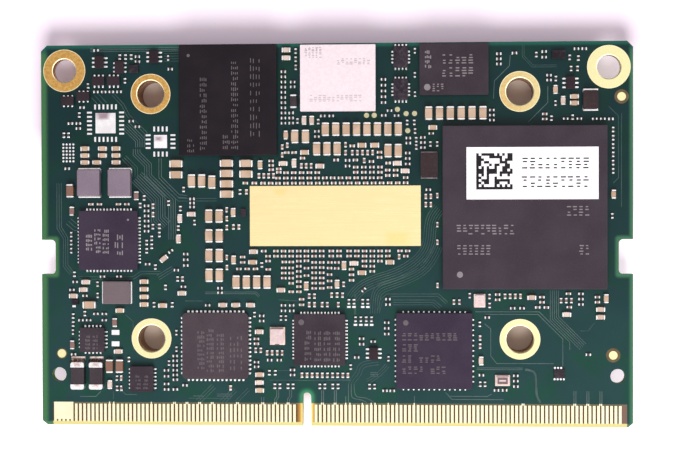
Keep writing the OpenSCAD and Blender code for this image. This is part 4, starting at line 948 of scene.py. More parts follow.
def add_disc(
    shape: bmesh.types.BMesh, at: Vector, radius: float, height: float, sides: int = 20
) -> None:
    """Add a thin round plate that stands on a surface and narrows a little upwards.

    Args:
        shape: The bmesh that takes it.
        at: Middle of its foot, in millimetres.
        radius: Its radius.
        height: Its height.
        sides: Number of its sides.
    """
    bmesh.ops.create_cone(
        shape,
        cap_ends=True,
        segments=sides,
        radius1=radius,
        radius2=radius * DISC_TAPER,
        depth=height,
        matrix=Matrix.Translation(at + Vector((0, 0, height / 2))),
    )


def top_of(node: str) -> float:
    """Return the height of a node's upper face in millimetres."""
    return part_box(node)[1].z / MM


@dataclass(frozen=True)
class TraceRun:
    """Some copper lines side by side under the mask, along one given route."""

    route: tuple[Point, ...]
    lines: int = 1
    pitch: float = 0.3
    width: float = 0.1
    round_bends: bool = False
    bold: bool = False
    least_mitre: float = 0.4

    def shifted(self, distance: float) -> list[Point]:
        """Return the route moved sideways.

        Args:
            distance: Shift to the left of the route's direction, in millimetres.

        Returns:
            The moved points, mitred at the bends.
        """
        points = [Vector(point) for point in self.route]
        steps = [(after - before).normalized() for before, after in zip(points, points[1:])]
        moved = []
        for here, behind, ahead in zip(points, (steps[0], *steps), (*steps, steps[-1])):
            left = Vector((-(ahead.y + behind.y), ahead.x + behind.x)).normalized()
            mitre = max(self.least_mitre, left.dot(Vector((-ahead.y, ahead.x))))
            moved.append(tuple(here + left * distance / mitre))
        return moved

    def all_lines(self) -> Iterable[list[Point]]:
        """Yield the points of each line of the run."""
        for i in range(self.lines):
            yield self.shifted((i - (self.lines - 1) / 2) * self.pitch)


@dataclass
class Traces:
    """The copper lines that show through the mask of the upper face."""

    height: float = 0.03
    round_width: float = 0.13
    runs: tuple[TraceRun, ...] = (
        TraceRun(
            ((12.3, 3.1), (11.6, 2.3), (11.25, 1.0), (11.2, -0.5), (10.8, -1.9), (9.6, -3.3),
             (7.4, -4.6), (4.7, -5.35), (2.7, -6.4), (2.1, -7.4)),
            6, 0.27, round_bends=True,
        ),
        TraceRun(
            ((12.2, -1.3), (11.4, -3.2), (9.7, -4.7), (7.1, -5.7), (5.2, -6.3), (4.75, -7.5),
             (4.75, -9.2)),
            5, 0.27, round_bends=True,
        ),
        TraceRun(((5.2, -8.9), (5.5, -7.7), (6.2, -7.05), (12.2, -7.05), (13.2, -8.0)), 2, 0.28, 0.11),
        TraceRun(((6.9, -7.9), (11.6, -7.9), (12.4, -8.6)), 3, 0.28, 0.11),
        TraceRun(((25.7, -6.5), (25.7, -9.75), (29.0, -13.05)), 5, 0.24, 0.08, bold=True),
        TraceRun(((16.5, -8.99), (23.94, -8.99), (27.47, -12.52), (27.47, -13.43)), bold=True),
        TraceRun(((17.6, -9.29), (23.8, -9.29), (26.67, -12.16), (26.67, -15.3)), bold=True),
        TraceRun(((17.6, -10.4), (18.3, -11.0), (18.3, -14.2), (19.0, -15.04), (25.6, -15.04)), bold=True),
        TraceRun(((16.7, -15.66), (22.0, -15.66)), 2, 0.19, 0.09, bold=True),
        TraceRun(
            ((22.3, -15.7), (22.9, -15.78), (23.4, -16.0), (23.57, -16.7), (23.58, -18.2),
             (23.7, -19.0), (24.1, -19.6)),
            width=0.36, round_bends=True,
        ),
        TraceRun(((13.0, -18.45), (13.5, -18.9), (17.9, -18.9), (18.4, -18.6)), bold=True),
        TraceRun(((13.3, -18.85), (13.8, -19.27), (19.8, -19.27)), bold=True),
        TraceRun(
            ((5.2, -14.9), (3.7, -15.05), (3.0, -15.5), (2.85, -16.3), (2.05, -17.15),
             (1.95, -17.6)),
            3, 0.33, 0.09, round_bends=True,
        ),
        TraceRun(((1.62, -17.5), (1.62, -19.75)), bold=True),
        TraceRun(
            ((1.95, -17.5), (1.93, -18.85), (2.15, -19.25), (3.2, -19.32), (3.8, -19.72)),
            round_bends=True, bold=True,
        ),
        TraceRun(
            ((2.28, -17.5), (2.29, -18.5), (2.55, -18.98), (3.0, -19.08), (3.95, -19.17),
             (4.7, -19.72)),
            round_bends=True, bold=True,
        ),
        TraceRun(((1.3, -18.95), (1.3, -19.75)), bold=True),
        TraceRun(((9.37, -18.9), (9.37, -19.75)), width=0.09, bold=True),
        TraceRun(((5.1, -16.36), (4.2, -16.36)), 3, 0.21, 0.08, bold=True),
        TraceRun(((-0.9, -17.05), (1.95, -17.05)), bold=True),
        TraceRun(((6.2, -15.3), (5.2, -16.6), (3.8, -17.2)), 3, 0.26, 0.08, round_bends=True),
        TraceRun(((2.42, -6.95), (2.42, -9.6)), 2, 0.16, 0.08),
        TraceRun(((-7.7, -17.08), (-0.9, -17.12)), width=0.08),
        TraceRun(((-6.8, -15.95), (-5.3, -15.95)), width=0.08),
        TraceRun(((-13.95, -18.87), (-12.15, -18.87)), 2, 0.23, 0.09, bold=True),
        TraceRun(((-16.75, -19.0), (-15.4, -19.0)), width=0.09, bold=True),
        TraceRun(((-17.3, -19.26), (-12.3, -19.26)), width=0.09),
        TraceRun(((-14.3, -17.8), (-16.2, -19.7)), 3),
        TraceRun(((-11.8, -18.2), (-13.3, -19.7)), 3),
        TraceRun(((-10.2, -18.2), (-11.7, -19.7)), 2),
        TraceRun(((-25.1, -18.5), (-24.85, -18.84), (-23.5, -18.84)), bold=True),
        TraceRun(((-26.3, -18.5), (-26.3, -19.4)), width=0.09),
        TraceRun(((-8.52, -19.1), (-8.52, -19.8)), 2, 0.28, 0.09, bold=True),
        TraceRun(
            ((-6.73, -18.2), (-6.73, -19.05), (-6.98, -19.4), (-6.98, -19.8)),
            2, 0.24, 0.11, bold=True,
        ),
        TraceRun(
            ((-5.21, -18.2), (-5.21, -19.0), (-5.45, -19.35), (-5.45, -19.8)),
            2, 0.24, 0.11, bold=True,
        ),
        TraceRun(((-28.9, 21.95), (-18.2, 21.95)), 3, 0.2, 0.08, bold=True),
        TraceRun(((-20.1, 21.0), (-18.2, 21.0)), 4, 0.3, 0.08),
        TraceRun(((-24.7, 13.0), (-23.0, 11.3), (-23.0, 10.4)), 5, 0.26, 0.08, bold=True),
        TraceRun(((-28.4, 16.6), (-27.3, 15.4)), 3, 0.45),
        TraceRun(((-26.2, 16.7), (-25.0, 15.4), (-24.4, 14.2), (-22.3, 12.1), (-22.3, 11.6)), 2),
        TraceRun(
            ((-23.4, 10.2), (-23.4, 9.65), (-22.05, 8.3), (-22.05, 7.0), (-19.2, 4.15),
             (-19.2, -0.5)),
            4, 0.27, 0.09, bold=True,
        ),
        TraceRun(((-23.4, 6.9), (-20.85, 4.35), (-20.85, 1.9), (-20.0, 1.05)), 7, 0.27, 0.09, bold=True),
        TraceRun(((-20.6, 9.1), (-20.6, 6.85), (-18.4, 4.65), (-17.4, 4.55)), 2, 0.3, 0.09, bold=True),
        TraceRun(((-24.9, 9.2), (-23.6, 7.9), (-23.6, 6.9)), 3, 0.3, 0.09),
        TraceRun(((-19.2, 5.0), (-18.4, 4.2), (-13.9, 4.2)), 2),
        TraceRun(((-32.7, 6.2), (-32.7, 0.9), (-31.95, -0.3), (-31.95, -3.6), (-31.2, -4.5)), 3, 0.27),
        TraceRun(((-31.6, 1.7), (-30.8, 1.0), (-30.4, 1.0)), 3, 0.4, 0.09),
        TraceRun(((-30.4, -5.0), (-27.9, -5.05), (-23.9, -5.05), (-22.9, -4.4), (-20.6, -4.4)), 2),
        TraceRun(((-20.9, -5.0), (-19.1, -3.9)), 3, 0.28),
        TraceRun(((-24.8, -9.4), (-23.9, -10.2), (-23.9, -13.6))),
        TraceRun(((-15.3, -6.8), (-9.3, -6.8), (-8.9, -7.2)), 2, 0.2, 0.09, bold=True),
        TraceRun(((-6.6, -7.6), (-4.2, -7.75)), width=0.09),
        TraceRun(((-17.7, -7.75), (-15.6, -7.75)), width=0.12),
        TraceRun(((20.6, 21.0), (20.5, 19.7), (18.75, 17.95), (18.65, 15.9)), bold=True),
        TraceRun(((22.1, 22.2), (22.1, 20.8), (23.2, 19.65), (26.0, 19.65)), 2, 0.22, 0.08),
        TraceRun(((24.95, 17.3), (24.95, 15.4), (22.7, 13.15)), bold=True),
        TraceRun(((30.3, -10.3), (29.6, -11.2), (28.7, -11.2))),
        TraceRun(((32.0, 14.9), (33.1, 13.8), (33.1, 6.6), (32.5, 6.0))),
        TraceRun(((33.45, 14.1), (33.45, 3.2))),
        TraceRun(((-30.3, -19.1), (-28.4, -19.1), (-27.8, -18.5)), bold=True),
    )
    bend_order: int = 3
    bend_steps: int = 3
    stub_pairs: tuple[float, ...] = (-1.43, 0.08, 28.07, 29.57, 31.08)
    stub_gap: float = 0.23
    stub_width: float = 0.12
    stub_low: float = -19.85
    stub_high: float = -18.25

    def stubs(self) -> Iterable[TraceRun]:
        """Yield the short pairs of lines that run down to the contacts."""
        for x in self.stub_pairs:
            route = ((x, self.stub_high), (x, self.stub_low))
            yield TraceRun(route, 2, self.stub_gap, self.stub_width, bold=True)

    def curve(self, bold: bool) -> bpy.types.Curve:
        """Gather the lines of one kind in a round curve.

        Args:
            bold: Whether the clearer lines are wanted, or the fainter ones.

        Returns:
            The curve, in millimetres.
        """
        lines = bpy.data.curves.new("trace_lines", "CURVE")
        lines.dimensions = "3D"
        lines.bevel_depth = 1.0
        lines.bevel_resolution = 1
        lines.use_fill_caps = True
        chosen = [run for run in (*self.runs, *self.stubs()) if run.bold is bold]
        for run in chosen:
            for points in run.all_lines():
                spline = lines.splines.new("NURBS" if run.round_bends else "POLY")
                spline.points.add(len(points) - 1)
                for made, (x, y) in zip(spline.points, points):
                    made.co = (x, y, 0.0, 1.0)
                    made.radius = run.width / 2
                if run.round_bends:
                    spline.use_endpoint_u = True
                    spline.order_u = self.bend_order
                    spline.resolution_u = self.bend_steps
        return lines

    def lay(self, name: str, bold: bool, finish: Shelf) -> None:
        """Make the lines of one kind a mesh, press them flat and lay them on the card.

        Args:
            name: Name of the piece.
            bold: Whether it holds the clearer lines, or the fainter ones.
            finish: The lines' finish.
        """
        holder = link("trace_lines", self.curve(bold))
        graph = bpy.context.evaluated_depsgraph_get()
        mesh = bpy.data.meshes.new_from_object(holder.evaluated_get(graph))
        bpy.data.objects.remove(holder)
        shape = bmesh.new()
        shape.from_mesh(mesh)
        bpy.data.meshes.remove(mesh)
        flat = self.height / self.round_width
        bmesh.ops.scale(shape, vec=(1.0, 1.0, flat), verts=shape.verts)
        bmesh.ops.translate(shape, vec=(0, 0, top_of("circuit_board")), verts=shape.verts)
        add_piece(name, shape, finish)

    def build(self) -> None:
        """Lay the faint lines and the clear ones."""
        self.lay("mask_traces", False, Shelf.TRACE)
        self.lay("clear_traces", True, Shelf.BOLD_TRACE)


@dataclass(frozen=True)
class MarkRow:
    """One row of unreadable marks: short dashes stacked like the strokes of writing."""

    at: Point
    cells: int
    cell: float
    tall: float
    turn: float = 0.0
    skip: tuple[int, ...] = ()


@dataclass
class Markings:
    """The marks on one package's upper face."""

    node: str
    rows: tuple[MarkRow, ...]
    finish: Shelf = Shelf.LASER
    slot: str = "grey_mould"
    dots: tuple[Spot, ...] = ()
    thickness: float = 0.012
    stroke: float = 0.13
    seed: int = 1
    levels: tuple[float, ...] = (0.08, 0.36, 0.64, 0.92)
    dashes: tuple[int, ...] = (3, 3, 4)
    lengths: tuple[float, ...] = (0.4, 0.55, 0.7)
    shake: float = 0.06

    def add_cell(
        self, shape: bmesh.types.BMesh, row: MarkRow, number: int, draw: random.Random
    ) -> None:
        """Add the dashes of one mark.

        Args:
            shape: The bmesh that takes them.
            row: The row that the mark stands in.
            number: Place of the mark in its row.
            draw: Seeded source of the dashes' heights, lengths and shifts.
        """
        turned = Matrix.Rotation(math.radians(row.turn), 3, "Z")
        start = Vector((*row.at, top_of(self.node)))
        for level in draw.sample(self.levels, draw.choice(self.dashes)):
            long = row.cell * draw.choice(self.lengths)
            along = (number + draw.uniform(-self.shake, self.shake)) * row.cell
            foot = start + turned @ Vector((along, level * row.tall, 0.0))
            add_plate(shape, foot, Vector((long, self.stroke, self.thickness)), row.turn)

    def build(self) -> None:
        """Lay the marks on their package."""
        shape = bmesh.new()
        draw = random.Random(self.seed)
        for row in self.rows:
            for number in range(row.cells):
                if number not in row.skip:
                    self.add_cell(shape, row, number, draw)
        for x, y, radius in self.dots:
            add_disc(shape, Vector((x, y, top_of(self.node))), radius, self.thickness)
        name = f"{self.node}_marks"
        add_piece(name, shape, self.finish)


ALL_MARKINGS: tuple[Markings, ...] = (
    Markings("coprocessor", (
        MarkRow((14.6, 0.05), 10, 0.68, 1.15),
        MarkRow((14.6, -2.3), 6, 0.68, 1.15),
        MarkRow((27.3, 2.2), 4, 0.68, 1.15),
        MarkRow((28.7, -2.3), 2, 0.68, 1.15),
    ), dots=((14.7, -4.6, 0.36),), seed=3),
    Markings("storage_flash", (
        MarkRow((-16.4, 9.9), 3, 0.62, 0.8, 90),
        MarkRow((-14.9, 10.2), 14, 0.62, 0.8, 90),
        MarkRow((-12.2, 10.3), 3, 0.62, 0.8, 90),
        MarkRow((-11.2, 10.3), 17, 0.62, 0.8, 90),
        MarkRow((-8.6, 11.9), 10, 0.95, 1.2, 90),
    ), Shelf.FAINT_LASER, "dark_mould", ((-17.05, 21.1, 0.19),), seed=5, stroke=0.1),
    Markings("boot_flash", (
        MarkRow((12.9, 19.9), 5, 0.78, 1.1),
        MarkRow((12.9, 18.4), 5, 0.78, 1.1),
        MarkRow((11.4, 19.6), 4, 0.55, 0.7, 90),
        MarkRow((11.7, 16.7), 3, 0.5, 0.9),
    ), dots=((10.95, 17.2, 0.38),), seed=7),
    Markings("power_controller", (
        MarkRow((-24.9, -2.1), 3, 0.95, 1.0, 90),
        MarkRow((-26.6, -2.0), 6, 0.5, 0.7, 90),
        MarkRow((-27.6, -1.9), 6, 0.5, 0.7, 90),
        MarkRow((-28.6, -1.6), 4, 0.5, 0.7, 90),
    ), dots=((-24.3, 1.85, 0.13),), seed=9),
    Markings("network_chip", (
        MarkRow((-15.3, -15.6), 9, 0.52, 0.8, 90),
        MarkRow((-14.2, -15.9), 10, 0.52, 0.8, 90),
        MarkRow((-13.0, -15.9), 9, 0.52, 0.8, 90),
        MarkRow((-10.8, -15.6), 6, 0.7, 1.5, 90),
    ), Shelf.FAINT_LASER, seed=11),
    Markings("hub_chip", (
        MarkRow((8.2, -12.3), 10, 0.66, 0.85),
        MarkRow((8.2, -13.6), 3, 0.66, 0.85),
        MarkRow((8.2, -14.9), 7, 0.66, 0.85, 0.0, (2,)),
        MarkRow((8.2, -16.2), 8, 0.66, 0.85, 0.0, (4,)),
    ), Shelf.FAINT_LASER, dots=((8.4, -10.25, 0.32),), seed=13),
    Markings("display_bridge", (
        MarkRow((-2.7, -14.5), 6, 0.62, 0.75, 90),
        MarkRow((-1.55, -14.6), 6, 0.62, 0.75, 90),
        MarkRow((-0.45, -14.6), 6, 0.62, 0.75, 90),
        MarkRow((0.65, -14.6), 6, 0.62, 0.75, 90),
    ), Shelf.FAINT_LASER, dots=((-3.85, -10.2, 0.34),), seed=15),
    Markings("regulator", (
        MarkRow((-28.9, -13.3), 4, 0.45, 0.55, 90),
        MarkRow((-28.0, -13.3), 4, 0.45, 0.55, 90),
    ), Shelf.FAINT_LASER, seed=17, stroke=0.09),
    Markings("load_driver", (
        MarkRow((-22.9, -18.0), 4, 0.45, 0.55, 90),
        MarkRow((-22.0, -18.0), 4, 0.45, 0.55, 90),
    ), Shelf.FAINT_LASER, seed=19, stroke=0.09),
    Markings("radio_module", (
        MarkRow((-3.2, 20.7), 5, 0.42, 0.7),
        MarkRow((-3.2, 21.5), 5, 0.42, 0.4),
        MarkRow((0.6, 19.9), 8, 0.5, 0.7),
        MarkRow((-2.6, 15.6), 12, 0.52, 0.75),
    ), Shelf.STAMP, "shield_plate", seed=21, stroke=0.09),
)


@dataclass
class LabelPrint:
    """Black print on the label: a square of seeded cells with two solid sides, and two rows of marks."""

    block_at: Point = (16.75, 5.42)
    block_cells: int = 14
    cell: float = 0.3
    share: float = 0.47
    rows: tuple[MarkRow, ...] = (
        MarkRow((22.2, 7.65), 9, 0.88, 1.3),
        MarkRow((22.2, 5.5), 9, 0.88, 1.3),
    )
    thickness: float = 0.012
    stroke: float = 0.15
    seed: int = 29

    def build(self) -> None:
        """Lay the print on the label."""
        shape = bmesh.new()
        draw = random.Random(self.seed)
        z = top_of("code_label")
        size = Vector((self.cell, self.cell, self.thickness))
        for i in range(self.block_cells):
            for j in range(self.block_cells):
                if i == 0 or j == 0 or draw.random() < self.share:
                    at = Vector(self.block_at) + Vector((i, j)) * self.cell
                    add_plate(shape, Vector((*at, z)), size)
        writer = Markings("code_label", self.rows, stroke=self.stroke, thickness=self.thickness)
        for row in self.rows:
            for number in range(row.cells):
                writer.add_cell(shape, row, number, draw)
        add_piece("label_print", shape, Shelf.INK)


@dataclass
class BareRings:
    """Rings of bare laminate round the round targets that machines look for."""

    places: tuple[Spot, ...] = (
        (33.47, 16.05, 0.83),
        (32.5, -14.05, 0.83),
        (-32.45, -14.0, 0.62),
    )
    thickness: float = 0.012
    sides: int = 28

    def build(self) -> None:
        """Lay the rings on the card."""
        shape = bmesh.new()
        z = top_of("circuit_board")
        for x, y, radius in self.places:
            add_disc(shape, Vector((x, y, z)), radius, self.thickness, self.sides)
        add_piece("bare_rings", shape, Shelf.BARE)


@dataclass
class RingLips:
    """Sloped lips at the mouths and the outer edges of the plated rings, whose paler gold paints their
    highlight.
    """

    corner_x: float = 32.0
    corner_y: float = 19.5
    corner_radii: tuple[float, float] = (1.38, 2.52)
    cooler_half: Point = (21.7, 14.45)
    cooler_y: float = 2.25
    cooler_radii: tuple[float, float] = (1.6, 2.37)
    mouth_wide: float = 0.1
    mouth_deep: float = 0.045
    edge_wide: float = 0.08
    setback: float = 0.005
    proud: float = 0.012
    sunk: float = 0.05
    steps: int = 48

    def holes(self) -> Iterable[tuple[float, float, float, float]]:
        """Yield the centre, bore radius and ring radius of each plated hole."""
        aside, above = self.cooler_half
        for side in (-1.0, 1.0):
            yield (side * self.corner_x, self.corner_y, *self.corner_radii)
            for end in (-1.0, 1.0):
                yield (side * aside, self.cooler_y + end * above, *self.cooler_radii)

    def add_lip(
        self, shape: bmesh.types.BMesh, centre: Vector, inner: float, outer: float, low: float
    ) -> None:
        """Add one closed ring whose upper face slopes towards its inner side.

        Args:
            shape: The bmesh that takes it.
            centre: Middle of the hole at the height of the plating's face.
            inner: Inner radius.
            outer: Outer radius.
            low: Depth of the inner edge below the outer one.
        """
        foot = -self.sunk - low
        profile = ((inner, self.proud - low), (outer, self.proud), (outer, foot), (inner, foot))
        corners = [shape.verts.new(centre + Vector((radius, 0.0, height))) for radius, height in profile]
        face = shape.faces.new(corners)
        bmesh.ops.spin(
            shape,
            geom=list(face.edges),
            cent=centre,
            axis=(0, 0, 1),
            angle=math.tau,
            steps=self.steps,
            use_merge=True,
        )
        bmesh.ops.delete(shape, geom=[face], context="FACES_ONLY")

    def build(self) -> None:
        """Turn the lips and lay them on the plating."""
        shape = bmesh.new()
        z = top_of("corner_hole_plating")
        for x, y, bore, ring in self.holes():
            centre = Vector((x, y, z))
            self.add_lip(shape, centre, bore + self.setback, bore + self.mouth_wide, self.mouth_deep)
            self.add_lip(shape, centre, ring - self.edge_wide, ring - self.setback, 0.0)
        add_piece("ring_lips", shape, Shelf.LIP_GOLD)


@dataclass
class CrystalPanels:
    """A dark panel and dark strips of painted shade in the lids of the crystals, and a paler bar on each lid.
    """

    # the first place also takes a dark panel, which paints the shade of the lid's recess
    places: tuple[Plate, ...] = (
        (19.65, -17.0, 1.2, 0.8),
        (17.0, -7.68, 0.5, 0.62),
        (-6.7, -11.85, 0.7, 0.9),
    )
    # painted shade: the shadowed step under the top edge of one lid and its notch at the bottom
    shade_strips: tuple[Plate, ...] = (
        (-6.78, -10.98, 1.5, 0.13),
        (-6.72, -12.83, 0.55, 0.12),
    )
    thickness: float = 0.01
    bar_long: float = 0.66
    bar_deep: float = 0.22

    def build(self) -> None:
        """Lay the painted shade panel and strips, and the bars, on the lids."""
        z = top_of("crystal_lids")
        panels = bmesh.new()
        bars = bmesh.new()
        for x, y, wide, deep in (*self.places[:1], *self.shade_strips):
            add_plate(panels, Vector((x, y, z)), Vector((wide, deep, self.thickness)))
        for x, y, wide, deep in self.places:
            size = Vector((wide * self.bar_long, deep * self.bar_deep, self.thickness * 2))
            add_plate(bars, Vector((x, y, z)), size)
        add_piece("crystal_shade_panels", panels, Shelf.SHADE_PANEL)
        add_piece("crystal_bars", bars, Shelf.BAR)


@dataclass
class SolderFillets:
    """Solder drawn up the far ends of the two dark chip inductors."""

    places: tuple[Point, ...] = ((-30.47, -16.55), (-28.27, -16.55))
    part_long: float = 3.2
    part_wide: float = 1.76
    reach: float = 0.58
    rise: float = 0.95
    steps: int = 6
    narrowing: float = 0.92
    foot_deep: float = 0.15
    foot_high: float = 0.03

    def add_fillet(self, shape: bmesh.types.BMesh, end: Vector) -> None:
        """Add one wedge of solder with a hollow slope and a thin foot.

        Args:
            shape: The bmesh that takes it.
            end: Middle of the part's far end at the card's face.
        """
        left = end - Vector((self.part_wide / 2, 0.0, 0.0))
        profile = [(0.0, 0.0), (self.reach, 0.0), (self.reach, self.foot_high)]
        curved = self.reach - self.foot_deep
        for number in range(self.steps + 1):
            angle = math.radians(90.0 * number / self.steps)
            rise = self.foot_high + self.rise * (1.0 - math.cos(angle))
            profile.append((curved * (1.0 - math.sin(angle)), rise))
        corners = [shape.verts.new(left + Vector((0.0, out, up))) for out, up in profile]
        face = shape.faces.new(corners)
        pulled = bmesh.ops.extrude_face_region(shape, geom=[face])["geom"]
        across = [item for item in pulled if isinstance(item, bmesh.types.BMVert)]
        bmesh.ops.translate(shape, vec=(self.part_wide, 0.0, 0.0), verts=across)
        foot = [vert for vert in (*corners, *across) if vert.co.y > end.y + self.reach / 2]
        bmesh.ops.scale(shape, vec=(self.narrowing, 1.0, 1.0), verts=foot, space=Matrix.Translation(-end))

    def build(self) -> None:
        """Draw the solder up both parts."""
        shape = bmesh.new()
        z = top_of("circuit_board")
        for x, y in self.places:
            self.add_fillet(shape, Vector((x, y + self.part_long / 2, z)))
        add_piece("solder_fillets", shape, Shelf.FILLET)


@dataclass
class ContactStubs:
    """Gold necks above those contacts whose copper line runs on into the card."""

    places: tuple[float, ...] = (-26.75, -26.25, -21.75, 1.3, 1.8, 3.25, 4.3, 4.75, 6.3, 7.3, 9.35)
    pairs: tuple[float, ...] = (
        -19.0, -17.5, -16.0, -14.5, -11.5, -8.5, -7.0, -5.5, -1.45, 0.05, 22.05, 28.05, 29.55, 31.05,
    )
    pair_gap: float = 0.2
    width: float = 0.13
    long: float = 0.25
    foot: float = -19.97
    thickness: float = 0.045

    def build(self) -> None:
        """Lay the necks on the card."""
        shape = bmesh.new()
        z = top_of("circuit_board")
        paired = [x + side * self.pair_gap / 2 for x in self.pairs for side in (-1.0, 1.0)]
        size = Vector((self.width, self.long, self.thickness))
        for x in (*self.places, *paired):
            add_plate(shape, Vector((x, self.foot + self.long / 2, z)), size)
        add_piece("contact_necks", shape, Shelf.GOLD)


@dataclass
class Stage:
    """Floor, lamp, world and camera."""

    floor_half: float = 600.0
    floor_colour: Colour = (0.985, 0.865, 0.975)
    # painted shade beneath the card
    painted_under_shade: Colour = (0.70, 0.575, 0.50)
    eye: Triple = (12.744, 2.983, 187.475)
    right: Triple = (0.99826, -0.00246, -0.05890)
    up: Triple = (0.00167, 0.99991, -0.01350)
    back: Triple = (0.05893, 0.01338, 0.99817)
    focal_px: float = 1600.0
    sensor: float = 36.0
    key_at: Triple = (15.0, -165.0, 225.0)
    key_size: float = 170.0
    key_watts: float = 0.815
    key_colour: Colour = (0.97, 1.0, 0.97)
    sky: float = 0.62
    sky_colour: Colour = (1.0, 0.93, 0.99)
    gloss_colour: Colour = (1.0, 0.99, 1.0)
    gloss_dim: float = 0.3
    gloss_steps: tuple[Climb, ...] = ((-0.5, -0.12, 0.77), (-0.1, 0.1, 0.28), (0.2, 0.6, 1.0))
    shade_x: Span = (28.0, 25.0)
    shade_y: Span = (20.5, 18.5)
    # painted light: the floor glows for camera rays beside, behind and before the module
    painted_light_colour: Colour = (0.70, 0.65, 0.67)
    side_light_span: Span = (27.0, 32.0)
    right_far: Span = (24.0, 20.0)
    right_far_share: float = 0.45
    right_near: Span = (6.0, -10.0)
    right_near_share: float = 0.5
    left_light_span: Span = (14.0, 8.0)
    left_share: float = 0.7
    behind: Span = (22.0, 31.5)
    behind_shares: Span = (0.03, 0.3)
    before: Span = (-17.4, -19.6)
    before_share: float = 0.62
    clip_start: float = 0.005
    bright_side: Triple = (0.5, -0.86, 0.0)

    def floor_light_paint(self, x: Term, y: Term) -> Term:
        """Work out how much painted light the floor takes round the module, seen only by the camera.

        Args:
            x: The floor point's x.
            y: The floor point's y.

        Returns:
            The share of the floor's glow.
        """
        start, end = self.side_light_span
        near = y.ramp(*self.right_near) * self.right_near_share
        right = x.ramp(start, end) * (y.ramp(*self.right_far) * self.right_far_share + near)
        left = x.ramp(-start, -end) * y.ramp(*self.left_light_span) * self.left_share
        before = y.ramp(*self.before, 0.0, self.before_share)
        return right.upper(left).upper(y.ramp(*self.behind, *self.behind_shares).upper(before))

    def floor(self) -> None:
        """Lay a pale floor that keeps the module's shadow, with painted shade beneath the card and painted
        light round it.
        """
        shape = bmesh.new()
        bmesh.ops.create_grid(shape, x_segments=1, y_segments=1, size=self.floor_half)
        mesh = mesh_from(shape, "floor")
        ground = link("floor", mesh)
        graph = Graph.of_material("floor_paper")
        x, y, _ = graph.axes()
        # painted shade: the floor darkens beneath the card, so the bores look dim
        under = abs(x).ramp(*self.shade_x) * abs(y).ramp(*self.shade_y)
        paper = graph.mix(under, self.floor_colour, self.painted_under_shade)
        diffuse = graph.node("ShaderNodeBsdfDiffuse", {}, {"Color": paper})
        path = graph.node("ShaderNodeLightPath", {}, {})
        seen = Term(graph, path.outputs["Is Camera Ray"])
        # painted light, for camera rays only
        lit = graph.mix(self.floor_light_paint(x, y) * seen, (0.0, 0.0, 0.0), self.painted_light_colour)
        floor_light_paint = graph.node("ShaderNodeEmission", {}, {"Color": lit})
        both = graph.node("ShaderNodeAddShader", {}, {0: diffuse.outputs[0], 1: floor_light_paint.outputs[0]})
        graph.node("ShaderNodeOutputMaterial", {}, {"Surface": both.outputs[0]})
        mesh.materials.append(graph.owner)

    def key_lamp(self) -> None:
        """Hang the broad key lamp over the contact edge; the world stands for it in reflections."""
        lamp = bpy.data.lights.new("key_lamp", "AREA")
        lamp.shape = "DISK"
        lamp.size = self.key_size * MM
        lamp.energy = self.key_watts
        lamp.color = self.key_colour
        holder = link("key_lamp", lamp)
        holder.visible_glossy = False
        at = Vector(self.key_at) * MM
        holder.matrix_world = Matrix.Translation(at) @ (-at).to_track_quat("-Z", "Y").to_matrix().to_4x4()

    def world(self) -> None:
        """Surround the module with soft light, which reflections see bright on one side."""
        world = bpy.data.worlds.new("studio")
        bpy.context.scene.world = world
        graph = Graph(world)
        coords = graph.node("ShaderNodeTexCoord", {}, {})
        leaning = graph.node(
            "ShaderNodeVectorMath",
            {"operation": "DOT_PRODUCT"},
            {0: coords.outputs["Generated"], 1: self.bright_side},
        )
        lean = Term(graph, leaning.outputs["Value"])
        path = graph.node("ShaderNodeLightPath", {}, {})
        glossy = Term(graph, path.outputs["Is Glossy Ray"])
        camera = Term(graph, path.outputs["Is Camera Ray"])
        studio = self.gloss_dim
        for start, end, rise in self.gloss_steps:
            studio = studio + lean.ramp(start, end, 0.0, rise)
        level = (glossy * (studio - self.sky) + self.sky) * (1.0 - camera) + camera
        tint = graph.mix(glossy, self.sky_colour, self.gloss_colour)
        back = graph.node("ShaderNodeBackground", {}, {"Color": tint, "Strength": level})
        graph.node("ShaderNodeOutputWorld", {}, {"Surface": back.outputs[0]})

    def camera(self) -> None:
        """Set the camera at the photograph's place."""
        lens = bpy.data.cameras.new("camera")
        lens.sensor_fit = "HORIZONTAL"
        lens.sensor_width = self.sensor
        lens.lens = self.focal_px / PHOTO_WIDTH_PX * self.sensor
        lens.clip_start = self.clip_start
        holder = link("camera", lens)
        turn = Matrix((self.right, self.up, self.back)).transposed().to_4x4()
        at = Vector(self.eye) + Vector((0, 0, top_of("circuit_board")))
        holder.matrix_world = Matrix.Translation(at * MM) @ turn
        bpy.context.scene.camera = holder

    def build(self) -> None:
        """Set the whole stage."""
        self.camera()
        self.floor()
        self.key_lamp()
        self.world()
        bpy.context.scene.view_settings.view_transform = "Standard"


@dataclass
class Dresser:
    """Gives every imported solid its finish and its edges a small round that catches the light."""

    nodes: dict[str, bpy.types.Object]
    weld_mm: float = 0.0005
    edge_angle: float = 50.0

    def round_edges(self, node: bpy.types.Object, width_mm: float) -> None:
        """Soften a node's edges by modifiers.

        Args:
            node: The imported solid.
            width_mm: Width of the rounding.
        """
        weld = node.modifiers.new("weld", "WELD")
        weld.merge_threshold = self.weld_mm * MM
        bevel = node.modifiers.new("edges", "BEVEL")
        bevel.width = width_mm * MM
        bevel.segments = 1
        bevel.limit_method = "ANGLE"
        bevel.angle_limit = math.radians(self.edge_angle)

    def dress(self) -> None:
        """Put each node's finish on it and round its edges."""
        for name, node in self.nodes.items():
            dress = NODE_DRESS[name]
            node.data.materials.clear()
            node.data.materials.append(dress.finish.material())
            if dress.rounding:
                self.round_edges(node, dress.rounding)
            LOG.info("node %s: %s", name, dress.finish.value.name)


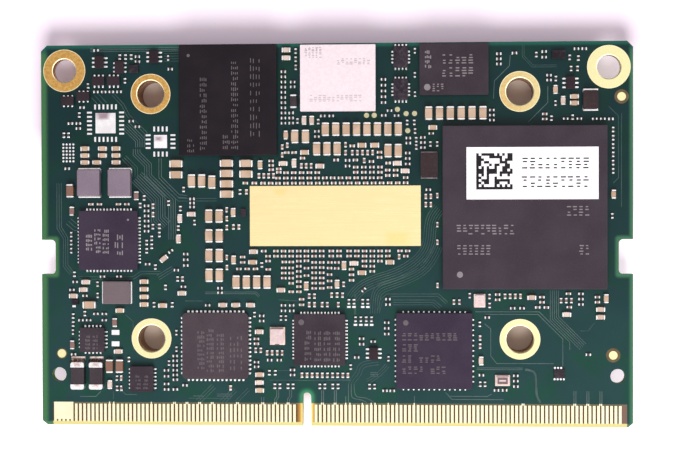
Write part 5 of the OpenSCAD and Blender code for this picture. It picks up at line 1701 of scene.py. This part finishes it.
def main() -> None:
    """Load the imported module, dress it, add its fine pieces and set the stage."""
    logging.basicConfig(level=logging.INFO, format="%(message)s")
    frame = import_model()
    Stage().build()
    Dresser(frame["nodes"]).dress()
    Traces().build()
    ContactStubs().build()
    BareRings().build()
    RingLips().build()
    CrystalPanels().build()
    SolderFillets().build()
    for marks in ALL_MARKINGS:
        marks.build()
    LabelPrint().build()


if __name__ == "__main__":
    main()
